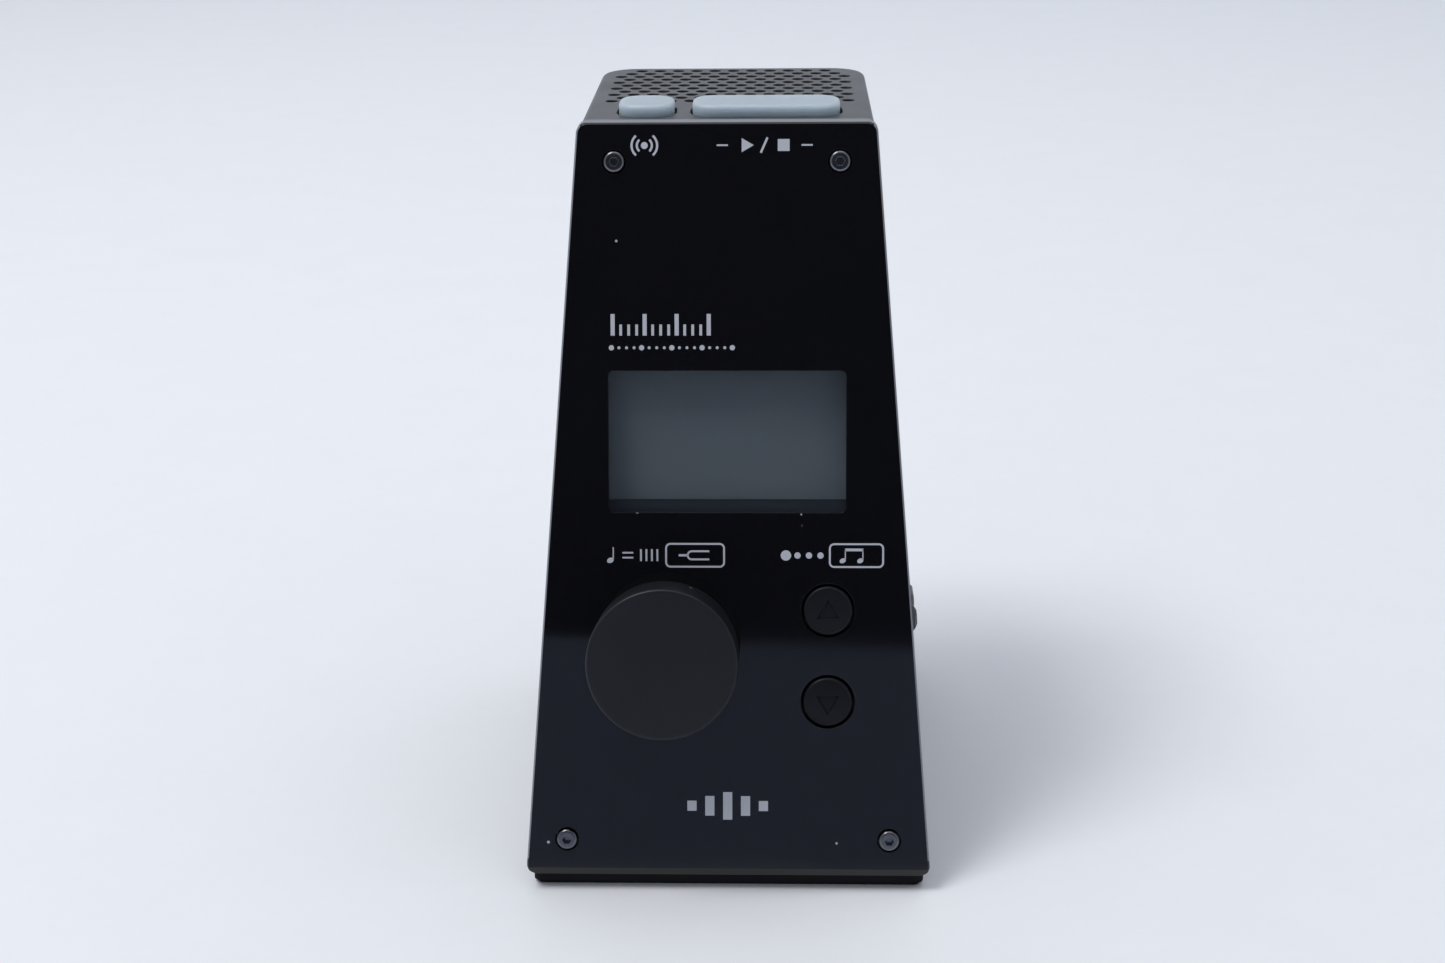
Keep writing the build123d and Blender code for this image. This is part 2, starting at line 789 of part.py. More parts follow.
def battery_tray():
    front = cell_y - cell_radius - 0.3
    outer = block(
        -bay_half_width - bay_wall, bay_half_width + bay_wall, front - bay_wall, 45.8,
        bay_floor - bay_wall, bay_roof + bay_wall,
    )
    outer -= block(-bay_half_width, bay_half_width, front, 50, bay_floor, bay_roof)
    outer -= block(-30, 30, 42.0, 50, 0, bay_floor)
    for number in range(1, cell_count):
        x = (number - cell_count / 2) * cell_pitch
        outer += block(x - 0.2, x + 0.2, front - 0.5, front + 2.0, bay_floor + 6, bay_roof - 6)
    for x, z in tray_screw_places:
        inner = (bay_half_width + 0.5) * (1 if x > 0 else -1)
        tab = sorted((inner, x + 2.2 * (1 if x > 0 else -1)))
        outer += block(tab[0], tab[1], 41.1, 42.3, z - 3, z + 3)
        outer -= Pos(x, 41.7, z) * Rot(90, 0, 0) * Cylinder(screw_hole, 4)
    return outer


def tray_screws():
    one = Rot(90, 0, 0) * screw(1.9, 1.3, 4.6, 0.87)
    return group([Pos(x, 41.1, z) * one for x, z in tray_screw_places])


def cell(points_up):
    """One cell, its lower end on z = 0."""
    body = rod(0, 0, 0, cell_length - nub_height, cell_radius)
    body = fillet(body.edges().filter_by(GeomType.CIRCLE), 0.5)
    nub = rod(0, 0, cell_length - nub_height - 0.01, cell_length, nub_radius)
    one = body + fillet(nub.faces().sort_by(Axis.Z)[-1].edges(), 0.3)
    return one if points_up else Pos(0, 0, cell_length) * upside_down(one)


def cell_foot(points_up):
    clearance = spring_height if points_up else bump_height
    return bay_floor + contact_thickness + clearance


def battery_cells():
    return group([Pos(x, cell_y, cell_foot(up)) * cell(up) for x, up in cell_places()])


def contact_springs():
    """Coil springs that press on the flat end of each cell."""
    parts = []
    turns_height = spring_height - 0.7
    for x, up in cell_places():
        path = Helix(pitch=turns_height / 2.5, height=turns_height, radius=3.3)
        start = path @ 0
        profile = Plane(origin=start, z_dir=path % 0) * Circle(0.3)
        coil = sweep(profile, path=path)
        base = cell_foot(True) - spring_height if up else cell_foot(False) + cell_length
        parts.append(Pos(x, cell_y, base + 0.35) * coil)
    return group(parts)


def contact_plates():
    """Plates at both ends of the bay; each has a bump where it meets a cell's nub."""
    parts = []
    for x, up in cell_places():
        for z, bump_up in ((bay_floor, True), (bay_roof - contact_thickness, False)):
            plate = rounded_block(x, cell_y, z, z + contact_thickness, 8.4, 8.4, 1.5)
            touches_nub = up != bump_up
            if touches_nub:
                low = z if bump_up else z - bump_height
                plate += rod(x, cell_y, low, low + bump_height + contact_thickness, 1.8)
            parts.append(plate)
    return group(parts)


def battery_door():
    """Snap-in door: it pivots about its outer lower edge and has a finger tongue at the top."""
    inner = shell_back - shell_wall
    door = Pos(0, (inner + shell_back) / 2, (door_bottom + door_top) / 2) * Box(
        2 * door_half_width, shell_wall, door_top - door_bottom
    )
    door = fillet(door.edges().filter_by(Axis.Y), 1.5)
    slot = block(-7.0, 7.0, inner - 1, shell_back + 1, door_top - 10.0, door_top + 1)
    slot -= block(-6.2, 6.2, inner - 2, shell_back + 2, door_top - 11.0, door_top + 2)
    door -= slot
    for ridge in range(4):
        z = door_top - 2.4 - 1.5 * ridge
        door += block(-4.6, 4.6, shell_back - 0.5, shell_back + 0.35, z - 0.3, z + 0.3)
    door += block(-5.6, 5.6, inner - 0.35, inner + 0.5, door_top - 1.6, door_top - 0.4)
    for x in (-14.0, 14.0):
        foot = block(x - 3, x + 3, inner - 1.2, inner + 0.4, door_bottom, door_bottom + 4)
        foot += block(x - 3, x + 3, inner - 1.2, inner - 0.4, door_bottom - 2.2, door_bottom + 1)
        door += foot
    return door


# Base

def base_outline(inset):
    """Base footprint with round rear corners, inset from the housing's foot."""
    half = wall_half_width(shell_bottom) - inset
    front, back = base_front + inset, shell_back - inset
    face = Pos(0, (front + back) / 2) * Rectangle(2 * half, back - front)
    rear = face.vertices().sort_by(Axis.Y)[-2:]
    face = fillet(rear, rear_corner - inset)
    return fillet(face.vertices().sort_by(Axis.Y)[:2], 1.5)


def base_plate():
    plate = Pos(0, 0, base_bottom) * extrude(base_outline(0), shell_bottom - base_bottom)
    plate -= extrude(base_outline(0.3), pad_thickness)
    for x in (-33.2, 33.2):
        plate += block(x - 0.6, x + 0.6, -18, 28, shell_bottom - 0.5, 5.0)
    plate += block(-18, 18, 44.2, 45.4, shell_bottom - 0.5, 5.0)
    for x, y in base_screw_places:
        plate -= rod(x, y, 0, 6, screw_hole)
        plate -= rod(x, y, 0, 2.2, 2.3)
    return plate


def base_screws():
    one = upside_down(screw(2.0, 1.0, 8.0, 0.87))
    return group([Pos(x, y, 2.2) * one for x, y in base_screw_places])


def anti_slip_pad():
    pad = extrude(base_outline(0.4), pad_thickness)
    pad = chamfer(pad.faces().sort_by(Axis.Z)[0].outer_wire().edges(), 0.25)
    return pad - [rod(x, y, -1, 3, 2.6) for x, y in base_screw_places]


# Leads

def lead(points, radii):
    """Round wire along straight runs joined by tangent arcs."""
    path = FilletPolyline(*points, radius=radii)
    start = Vector(*points[0])
    profile = Plane(origin=start, z_dir=Vector(*points[1]) - start) * Circle(lead_radius)
    return sweep(profile, path=path)


def corner_radii(points):
    """Each arc takes as much of its two runs as they allow."""
    corners = [Vector(*point) for point in points]
    radii = []
    for before, here, after in zip(corners, corners[1:], corners[2:]):
        turn = radians((here - before).get_angle(after - here))
        radii.append(0.42 * min((here - before).length, (after - here).length) / tan(turn / 2))
    return radii


def lead_pair(points, step):
    """Two wires side by side, offset across X."""
    pair = []
    for offset in (-step / 2, step / 2):
        moved = [(x + offset, y, z) for x, y, z in points]
        pair.append(lead(moved, corner_radii(moved)))
    return group(pair)


def board_point(name, depth):
    """A point behind a main-board connector, in the row's frame."""
    x, s = main_connectors[name]
    place = (panel * Pos(x, s, board_back - connector_height - depth)).position
    return (place.X, place.Y, place.Z)


def battery_leads():
    x = main_connectors["battery"][0]
    tray_front = cell_y - cell_radius - 0.3 - bay_wall
    return lead_pair([
        board_point("battery", 0), board_point("battery", 7), (x + 0.5, -4, 27),
        (x + 2, 10, 26), (x + 2, 20, 32), (x + 2, 25, 44), (x + 2, 29, 50), (x + 2, tray_front, 50),
    ], 2.0)


def speaker_leads():
    tag_y = speaker_y - 11.6
    return lead_pair([
        board_point("speaker", 0), board_point("speaker", 6), (-10, 11.5, 104),
        (-6, 16.4, 113), (-4, 14.2, 120.5), (-3, 14.6, 127.4), (-3, tag_y, 127.4),
    ], 1.8)


def side_leads():
    return lead_pair([
        board_point("side", 0), board_point("side", 5), (19, -1.5, 52.5),
        (17.6, 3.0, 45.5), (17.3, 4.0, 37.6),
    ], 1.6)


def top_ribbon():
    """Flat cable from the upper board down to the main board."""
    x = main_connectors["top"][0]
    end = board_point("top", 0)
    near = board_point("top", 4)
    path = FilletPolyline(
        (x, 10.0, top_board_top - 3.6), (x, 10.0, 113.0), (x, near[1], near[2]), (x, end[1], end[2]),
        radius=[3.0, 1.2],
    )
    profile = Plane(origin=(x, 10.0, top_board_top - 3.6), z_dir=(0, 0, -1)) * Rectangle(8.0, 0.6)
    return sweep(profile, path=path)


nodes = {
    "main_shell": main_shell(),
    "front_panel": front_panel(),
    "display_window": display_window(),
    "display_glass": display_glass(),
    "display_backlight": display_backlight(),
    "display_connector": display_connector(),
    "display_bezel": display_bezel(),
    "front_chassis": front_chassis(),
    "panel_screws": panel_screws(),
    "main_board": main_board(),
    "board_screws": board_screws(),
    "board_components": board_components(),
    "board_connectors": board_connectors(),
    "encoder_body": encoder_body(),
    "encoder_nut": encoder_nut(),
    "encoder_shaft": encoder_shaft(),
    "tempo_dial": tempo_dial(),
    "beat_up_button": beat_button(beat_up_s, 1),
    "beat_down_button": beat_button(beat_down_s, -1),
    "beat_up_plunger": beat_plunger(beat_up_s),
    "beat_down_plunger": beat_plunger(beat_down_s),
    "beat_switches": beat_switches(),
    "tap_button": top_button(tap_x, tap_width, [tap_x]),
    "start_stop_button": top_button(start_x, start_width, start_switch_places),
    "tap_plunger": top_plungers([tap_x]),
    "start_stop_plungers": top_plungers(start_switch_places),
    "top_switches": top_switches(),
    "top_board": top_board(),
    "top_board_screws": top_board_screws(),
    "indicator_leds": indicator_leds(),
    "speaker_frame": speaker_frame(),
    "speaker_magnet": speaker_magnet(),
    "speaker_cone": speaker_cone(),
    "speaker_surround": speaker_surround(),
    "speaker_clamp": speaker_clamp(),
    "speaker_screws": speaker_screws(),
    "speaker_cloth": speaker_cloth(),
    "volume_wheel": volume_wheel(),
    "volume_pot": volume_pot(),
    "power_button": power_button(),
    "power_switch": power_switch(),
    "power_plunger": power_plunger(),
    "phones_jack": phones_jack(),
    "side_board": side_board(),
    "side_board_screws": side_board_screws(),
    "battery_tray": battery_tray(),
    "tray_screws": tray_screws(),
    "battery_cells": battery_cells(),
    "contact_springs": contact_springs(),
    "contact_plates": contact_plates(),
    "battery_door": battery_door(),
    "base_plate": base_plate(),
    "base_screws": base_screws(),
    "anti_slip_pad": anti_slip_pad(),
    "battery_leads": battery_leads(),
    "speaker_leads": speaker_leads(),
    "side_leads": side_leads(),
    "top_ribbon": top_ribbon(),
}

os.makedirs("parts", exist_ok=True)
for name, shape in nodes.items():
    export_step(shape, f"parts/{name}.step")
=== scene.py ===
import json

import bpy
import numpy as np
from mathutils import Euler, Matrix, Vector


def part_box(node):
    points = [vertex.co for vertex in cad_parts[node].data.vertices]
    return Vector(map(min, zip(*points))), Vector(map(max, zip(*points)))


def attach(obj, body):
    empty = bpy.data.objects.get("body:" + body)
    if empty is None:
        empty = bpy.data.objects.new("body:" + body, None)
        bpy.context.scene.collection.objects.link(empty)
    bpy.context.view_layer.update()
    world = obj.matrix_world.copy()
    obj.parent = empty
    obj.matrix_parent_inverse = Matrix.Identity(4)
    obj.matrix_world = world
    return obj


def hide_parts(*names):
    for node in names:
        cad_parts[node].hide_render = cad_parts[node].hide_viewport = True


# Tower metronome: finishes, printed marks and fine caps around the fixed frame.
# Metres; +X is right as the front is faced, +Y is the back, +Z is up.

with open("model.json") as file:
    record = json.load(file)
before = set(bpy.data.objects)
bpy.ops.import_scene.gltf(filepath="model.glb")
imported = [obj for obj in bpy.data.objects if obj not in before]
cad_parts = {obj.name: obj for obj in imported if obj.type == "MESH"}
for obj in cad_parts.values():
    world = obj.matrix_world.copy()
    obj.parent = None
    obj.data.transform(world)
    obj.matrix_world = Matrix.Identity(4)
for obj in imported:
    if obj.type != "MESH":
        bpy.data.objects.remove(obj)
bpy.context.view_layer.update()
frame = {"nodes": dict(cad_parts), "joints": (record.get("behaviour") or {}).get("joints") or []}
mm = 0.001
fullTurn = 2 * np.pi
print("frame loaded:", len(frame["nodes"]), "nodes")


# Where things are, read from the frame.

def nodePoints(name):
    mesh = frame["nodes"][name].data
    found = np.empty(len(mesh.vertices) * 3, np.float32)
    mesh.vertices.foreach_get("co", found)
    return found.reshape(-1, 3).astype(float)


def jointNamed(name):
    return [joint for joint in frame["joints"] if joint["name"] == name][0]


# The dial turns about the panel's normal, so its joint gives the lean.
normalOut = np.array(jointNamed("tempo_dial_turn")["axis"], float)
rightWay = np.array([1.0, 0.0, 0.0])
upWay = np.cross(normalOut, rightWay)
frontLevel = (nodePoints("display_window") @ normalOut).max()
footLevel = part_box("front_panel")[0].z
panelOrigin = normalOut * frontLevel
panelOrigin = panelOrigin + upWay * (footLevel - panelOrigin[2]) / upWay[2]


# Place on the panel: origin + across * right + up * the panel's own up + out * its normal.
def onPanel(across, up, out):
    across, up, out = np.broadcast_arrays(across, up, out)
    flat = across[..., None] * rightWay + up[..., None] * upWay
    return panelOrigin + flat + out[..., None] * normalOut


# The inverse: a node's box in panel coordinates, as lowest and highest (across, up, out).
def panelBox(name):
    away = nodePoints(name) - panelOrigin
    local = np.stack([away @ rightWay, away @ upWay, away @ normalOut], axis=1)
    return local.min(0), local.max(0)


def panelCentre(name):
    low, high = panelBox(name)
    return (low + high) / 2


# Faces of a rows x columns grid: each cell joins a point, its right neighbour and the two above.
# wrapColumns joins the last column to the first, wrapRows the last row to the first,
# and caps closes the first and last rows with fans about their middle points.
def gridPart(points, wrapColumns=True, wrapRows=False, caps=True):
    rows, columns = points.shape[:2]
    index = np.arange(rows * columns).reshape(rows, columns)
    if wrapColumns:
        index = np.concatenate([index, index[:, :1]], axis=1)
    if wrapRows:
        index = np.concatenate([index, index[:1]], axis=0)
    corners = (index[:-1, :-1], index[:-1, 1:], index[1:, 1:], index[1:, :-1])
    faces = np.stack([corner.ravel() for corner in corners], axis=1).tolist()
    vertices = points.reshape(-1, 3)
    if caps and not wrapRows:
        first, last = rows * columns, rows * columns + 1
        middles = np.stack([points[0].mean(0), points[-1].mean(0)])
        vertices = np.concatenate([vertices, middles])
        low, high = index[0], index[-1]
        faces += np.stack([low[1:], low[:-1], np.full(len(low) - 1, first)], axis=1).tolist()
        faces += np.stack([high[:-1], high[1:], np.full(len(high) - 1, last)], axis=1).tolist()
    return vertices, faces


def joinParts(parts):
    vertices, faces, start = [], [], 0
    for points, cells in parts:
        vertices.append(points)
        faces += [[corner + start for corner in cell] for cell in cells]
        start += len(points)
    return np.concatenate(vertices), faces


def makeObject(name, part, material, smooth):
    vertices, faces = part
    mesh = bpy.data.meshes.new(name)
    mesh.from_pydata(vertices.tolist(), [], faces)
    mesh.polygons.foreach_set("use_smooth", np.full(len(faces), smooth))
    mesh.materials.append(material)
    mesh.update()
    piece = bpy.data.objects.new(name, mesh)
    bpy.context.scene.collection.objects.link(piece)
    return piece


# A piece of the object: it rides on its body and may stand in for CAD nodes.
def makePiece(name, part, body, material, smooth=True, replaced=()):
    piece = makeObject(name, part, material, smooth)
    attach(piece, body)
    if replaced:
        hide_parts(*replaced)
    return piece


def addNode(tree, kind, **values):
    node = tree.nodes.new(kind)
    for name, value in values.items():
        setattr(node, name, value)
    return node


def newGroup(name, inputs, outputs):
    tree = bpy.data.node_groups.new(name, "ShaderNodeTree")
    for label, start in inputs.items():
        socket = tree.interface.new_socket(label, in_out="INPUT", socket_type="NodeSocketFloat")
        socket.default_value = start
    for label in outputs:
        tree.interface.new_socket(label, in_out="OUTPUT", socket_type="NodeSocketFloat")
    return tree, addNode(tree, "NodeGroupInput"), addNode(tree, "NodeGroupOutput")


def mathNode(tree, operation, first, second=None, clamp=False):
    node = addNode(tree, "ShaderNodeMath", operation=operation, use_clamp=clamp)
    for socket, value in zip(node.inputs, (first, second)):
        if isinstance(value, (int, float)):
            socket.default_value = value
        elif value is not None:
            tree.links.new(value, socket)
    return node.outputs[0]


def noiseNode(tree, scale, detail=4.0, roughness=0.55, distortion=0.0):
    place = addNode(tree, "ShaderNodeTexCoord").outputs["Object"]
    node = addNode(tree, "ShaderNodeTexNoise")
    tree.links.new(place, node.inputs["Vector"])
    if isinstance(scale, (int, float)):
        node.inputs["Scale"].default_value = scale
    else:
        tree.links.new(scale, node.inputs["Scale"])
    node.inputs["Detail"].default_value = detail
    node.inputs["Roughness"].default_value = roughness
    node.inputs["Distortion"].default_value = distortion
    return node.outputs["Fac"]


# Weighted sum of two values.
def blend(tree, first, firstShare, second, secondShare):
    return mathNode(
        tree, "ADD", mathNode(tree, "MULTIPLY", first, firstShare),
        mathNode(tree, "MULTIPLY", second, secondShare),
    )


# Moulded surface: a fine noise over a coarser one. Height is for bump, Tone for colour.
def buildGrain():
    tree, inside, outside = newGroup("mouldGrain", {"Fineness": 3000.0}, ("Height", "Tone"))
    fine = noiseNode(tree, inside.outputs["Fineness"], 5.0, 0.65)
    wide = noiseNode(tree, mathNode(tree, "MULTIPLY", inside.outputs["Fineness"], 0.21), 3.0)
    height = blend(tree, fine, 0.7, wide, 0.3)
    slow = noiseNode(tree, 45.0, 3.0)
    tone = blend(tree, fine, 0.45, slow, 0.55)
    tree.links.new(height, outside.inputs["Height"])
    tree.links.new(tone, outside.inputs["Tone"])
    return tree


# Edge wear: where the rounded normal turns away from the flat one, broken up by a noise.
def buildWear():
    tree, inside, outside = newGroup("edgeWear", {"Radius": 0.0003, "Amount": 0.5}, ("Mask",))
    rounded = addNode(tree, "ShaderNodeBevel", samples=4)
    tree.links.new(inside.outputs["Radius"], rounded.inputs["Radius"])
    facing = addNode(tree, "ShaderNodeNewGeometry")
    turn = addNode(tree, "ShaderNodeVectorMath", operation="DOT_PRODUCT")
    tree.links.new(rounded.outputs["Normal"], turn.inputs[0])
    tree.links.new(facing.outputs["Normal"], turn.inputs[1])
    away = mathNode(tree, "SUBTRACT", 1.0, turn.outputs["Value"])
    strong = mathNode(tree, "MULTIPLY", away, 5.0, clamp=True)
    patches = mathNode(tree, "SUBTRACT", noiseNode(tree, 260.0), 0.3)
    patchy = mathNode(tree, "MULTIPLY", patches, 2.2, clamp=True)
    worn = mathNode(tree, "MULTIPLY", strong, patchy)
    worn = mathNode(tree, "MULTIPLY", worn, inside.outputs["Amount"], clamp=True)
    tree.links.new(worn, outside.inputs["Mask"])
    return tree


# Dust: a speck sits at the middle of a cell when the cell's own random value is high enough.
def buildDust():
    tree, inside, outside = newGroup("dustSpecks", {"Fineness": 260.0, "Share": 0.1}, ("Mask",))
    place = addNode(tree, "ShaderNodeTexCoord").outputs["Object"]
    cells = addNode(tree, "ShaderNodeTexVoronoi", feature="F1")
    tree.links.new(place, cells.inputs["Vector"])
    tree.links.new(inside.outputs["Fineness"], cells.inputs["Scale"])
    luck = addNode(tree, "ShaderNodeSeparateColor")
    tree.links.new(cells.outputs["Color"], luck.inputs["Color"])
    wanted = mathNode(tree, "SUBTRACT", inside.outputs["Share"], luck.outputs["Red"])
    chosen = mathNode(tree, "MULTIPLY", wanted, 30.0, clamp=True)
    size = mathNode(tree, "MULTIPLY", luck.outputs["Green"], 0.11)
    inward = mathNode(tree, "SUBTRACT", size, cells.outputs["Distance"])
    near = mathNode(tree, "MULTIPLY", inward, 60.0, clamp=True)
    tree.links.new(mathNode(tree, "MULTIPLY", chosen, near), outside.inputs["Mask"])
    return tree


# Handling: slow cloudy patches crossed by faint wiping streaks, for roughness.
def buildHandling():
    tree, inside, outside = newGroup("handling", {"Scale": 40.0}, ("Value",))
    cloud = noiseNode(tree, inside.outputs["Scale"], 4.0, 0.6, 0.8)
    place = addNode(tree, "ShaderNodeTexCoord").outputs["Object"]
    stretch = addNode(tree, "ShaderNodeMapping")
    stretch.inputs["Rotation"].default_value = (0.3, 0.5, 0.6)
    stretch.inputs["Scale"].default_value = (1.0, 1.0, 14.0)
    tree.links.new(place, stretch.inputs["Vector"])
    streak = addNode(tree, "ShaderNodeTexNoise")
    tree.links.new(stretch.outputs["Vector"], streak.inputs["Vector"])
    streak.inputs["Scale"].default_value = 90.0
    streak.inputs["Detail"].default_value = 3.0
    tree.links.new(blend(tree, cloud, 0.75, streak.outputs["Fac"], 0.25), outside.inputs["Value"])
    return tree


grainGroup, wearGroup, dustGroup, handlingGroup = buildGrain(), buildWear(), buildDust(), buildHandling()


def placeGroup(tree, group, **values):
    node = addNode(tree, "ShaderNodeGroup", node_tree=group)
    for label, value in values.items():
        node.inputs[label].default_value = value
    return node


def mixColours(tree, share, first, second):
    node = addNode(tree, "ShaderNodeMix", data_type="RGBA")
    tree.links.new(share, node.inputs["Factor"])
    for socket, value in zip(node.inputs[6:8], (first, second)):
        if isinstance(value, (tuple, list)):
            socket.default_value = (*value, 1.0)
        else:
            tree.links.new(value, socket)
    return node.outputs[2]


def spread(tree, value, low, high):
    node = addNode(tree, "ShaderNodeMapRange")
    tree.links.new(value, node.inputs["Value"])
    for label, number in (("From Min", 0.3), ("From Max", 0.7), ("To Min", low), ("To Max", high)):
        node.inputs[label].default_value = number
    return node.outputs["Result"]


# One finish from its dictionary. Lengths are in millimetres.
def makeFinish(name, look):
    material = bpy.data.materials.new(name)
    material.use_nodes = True
    tree = material.node_tree
    shader = tree.nodes["Principled BSDF"]
    for label, value in look.get("set", {}).items():
        shader.inputs[label].default_value = value
    colour, tone = np.array(look["colour"]), look.get("tone", 0.15)
    grain = placeGroup(tree, grainGroup, Fineness=1 / (look.get("grainSize", 0.3) * mm))
    base = mixColours(
        tree, spread(tree, grain.outputs["Tone"], 0.0, 1.0),
        tuple(colour * (1 - tone)), tuple(colour * (1 + tone)),
    )
    if look.get("wear"):
        wear = placeGroup(tree, wearGroup, Radius=look.get("edge", 0.25) * mm, Amount=look["wear"])
        base = mixColours(tree, wear.outputs["Mask"], base, look["wearColour"])
    if look.get("dust"):
        dust = placeGroup(tree, dustGroup, Share=look["dust"], Fineness=look.get("dustFineness", 260.0))
        base = mixColours(tree, dust.outputs["Mask"], base, (0.42, 0.43, 0.45))
    tree.links.new(base, shader.inputs["Base Color"])
    rough, change = look["rough"], look.get("roughChange", 0.06)
    handling = placeGroup(tree, handlingGroup, Scale=look.get("handlingScale", 40.0))
    tree.links.new(
        spread(tree, handling.outputs["Value"], max(rough - change, 0.01), rough + change),
        shader.inputs["Roughness"],
    )
    bump = addNode(tree, "ShaderNodeBump")
    bump.inputs["Strength"].default_value = 1.0
    bump.inputs["Distance"].default_value = look.get("grainDepth", 0.005) * mm
    tree.links.new(grain.outputs["Height"], bump.inputs["Height"])
    if look.get("edge"):
        rounding = addNode(tree, "ShaderNodeBevel", samples=6)
        rounding.inputs["Radius"].default_value = look["edge"] * mm
        tree.links.new(rounding.outputs["Normal"], bump.inputs["Normal"])
    tree.links.new(bump.outputs["Normal"], shader.inputs["Normal"])
    return material


def paint(material, *nodes):
    for name in nodes:
        piece = frame["nodes"][name]
        if not piece.material_slots:
            piece.data.materials.append(material)
        for place in piece.material_slots:
            place.material = material


graphiteShell = {
    "colour": (0.036, 0.038, 0.044), "tone": 0.18, "rough": 0.36, "roughChange": 0.05,
    "grainSize": 0.22, "grainDepth": 0.006, "edge": 0.3, "wear": 0.35,
    "wearColour": (0.13, 0.13, 0.14), "dust": 0.03,
}
shellMaterial = makeFinish("graphiteShell", graphiteShell)
paint(shellMaterial, "main_shell", "battery_door")

# Base plate: near-black plastic, made darker than the shell so that its front also stands in for the shade
# under the panel's foot (painted shade).
baseBlackAndShade = {
    "colour": (0.006, 0.006, 0.008), "tone": 0.2, "rough": 0.7, "grainSize": 0.25, "grainDepth": 0.01,
    "edge": 0.2, "dust": 0.05, "set": {"Specular IOR Level": 0.15},
}
paint(makeFinish("baseBlackAndShade", baseBlackAndShade), "base_plate")

padRubber = {
    "colour": (0.008, 0.008, 0.009), "tone": 0.3, "rough": 0.85, "roughChange": 0.08,
    "grainSize": 0.5, "grainDepth": 0.05, "edge": 0.2, "dust": 0.08, "set": {"Specular IOR Level": 0.2},
}
paint(makeFinish("padRubber", padRubber), "anti_slip_pad")

blackCloth = {
    "colour": (0.003, 0.003, 0.004), "tone": 0.5, "rough": 0.9, "grainSize": 0.35, "grainDepth": 0.12,
    "set": {"Specular IOR Level": 0.1},
}
paint(makeFinish("blackCloth", blackCloth), "speaker_cloth")
print("housing finished")


blackAcrylic = {
    "colour": (0.0032, 0.0033, 0.0042), "tone": 0.1, "rough": 0.05, "roughChange": 0.025,
    "grainSize": 1.6, "grainDepth": 0.0004, "edge": 0.1,
    "dust": 0.09, "dustFineness": 300.0, "handlingScale": 26.0, "set": {"IOR": 1.49},
}
# Painted highlight on the panel's sawn edges: a pale colour and a rougher finish near its sides and top.
sawnEdgeHighlight = {"colour": (0.2, 0.21, 0.24), "rough": 0.5, "above": 3.2, "within": 0.75, "turned": 0.97}


# Dot product of a vector output with a fixed vector.
def dotNode(tree, output, fixed):
    node = addNode(tree, "ShaderNodeVectorMath", operation="DOT_PRODUCT")
    tree.links.new(output, node.inputs[0])
    node.inputs[1].default_value = tuple(fixed)
    return node.outputs["Value"]


# Sawn edge with painted highlight: faces turned away from the panel's front, close to its sides or its
# top, get a pale colour that stands in for the bright surroundings seen in them at grazing angles, and a
# rougher finish.
# The side is the line |across| = half - slope * up through the widest low and high points.
def addSawnEdgeHighlight(material):
    tree = material.node_tree
    shader = tree.nodes["Principled BSDF"]
    away = nodePoints("front_panel") - panelOrigin
    across, up = np.abs(away @ rightWay), away @ upWay
    length = up.max()
    low = np.where(up < length / 2, across, 0.0).argmax()
    high = np.where(up > length / 2, across, 0.0).argmax()
    slope = (across[low] - across[high]) / (up[high] - up[low])
    half = across[low] + slope * up[low]
    facing = addNode(tree, "ShaderNodeNewGeometry")
    place = addNode(tree, "ShaderNodeTexCoord").outputs["Object"]
    right = mathNode(tree, "ABSOLUTE", dotNode(tree, place, rightWay))
    height = mathNode(tree, "SUBTRACT", dotNode(tree, place, upWay), float(panelOrigin @ upWay))
    reach = mathNode(tree, "ADD", right, mathNode(tree, "MULTIPLY", height, float(slope)))
    within = sawnEdgeHighlight["within"] * mm
    bySide = mathNode(tree, "GREATER_THAN", reach, float(half) - within)
    byTop = mathNode(tree, "GREATER_THAN", height, float(length) - within)
    above = mathNode(tree, "GREATER_THAN", height, sawnEdgeHighlight["above"] * mm)
    frontness = dotNode(tree, facing.outputs["True Normal"], normalOut)
    turned = mathNode(tree, "LESS_THAN", frontness, sawnEdgeHighlight["turned"])
    mask = mathNode(tree, "MULTIPLY", mathNode(tree, "MAXIMUM", bySide, byTop), turned)
    mask = mathNode(tree, "MULTIPLY", mask, above)
    glossy = shader.inputs["Base Color"].links[0].from_socket
    tree.links.new(mixColours(tree, mask, glossy, sawnEdgeHighlight["colour"]), shader.inputs["Base Color"])
    polished = shader.inputs["Roughness"].links[0].from_socket
    rough = mathNode(tree, "MAXIMUM", polished, mathNode(tree, "MULTIPLY", mask, sawnEdgeHighlight["rough"]))
    tree.links.new(rough, shader.inputs["Roughness"])


panelMaterial = makeFinish("blackAcrylic", blackAcrylic)
addSawnEdgeHighlight(panelMaterial)
paint(panelMaterial, "front_panel")

blackenedSteel = {
    "colour": (0.14, 0.145, 0.16), "tone": 0.25, "rough": 0.22, "roughChange": 0.06, "grainSize": 0.25,
    "grainDepth": 0.003, "edge": 0.12, "wear": 0.8, "wearColour": (0.32, 0.32, 0.34),
    "set": {"Metallic": 1.0},
}
steelMaterial = makeFinish("blackenedSteel", blackenedSteel)
paint(
    steelMaterial, "panel_screws", "board_screws", "top_board_screws", "speaker_screws",
    "side_board_screws", "tray_screws", "base_screws",
)


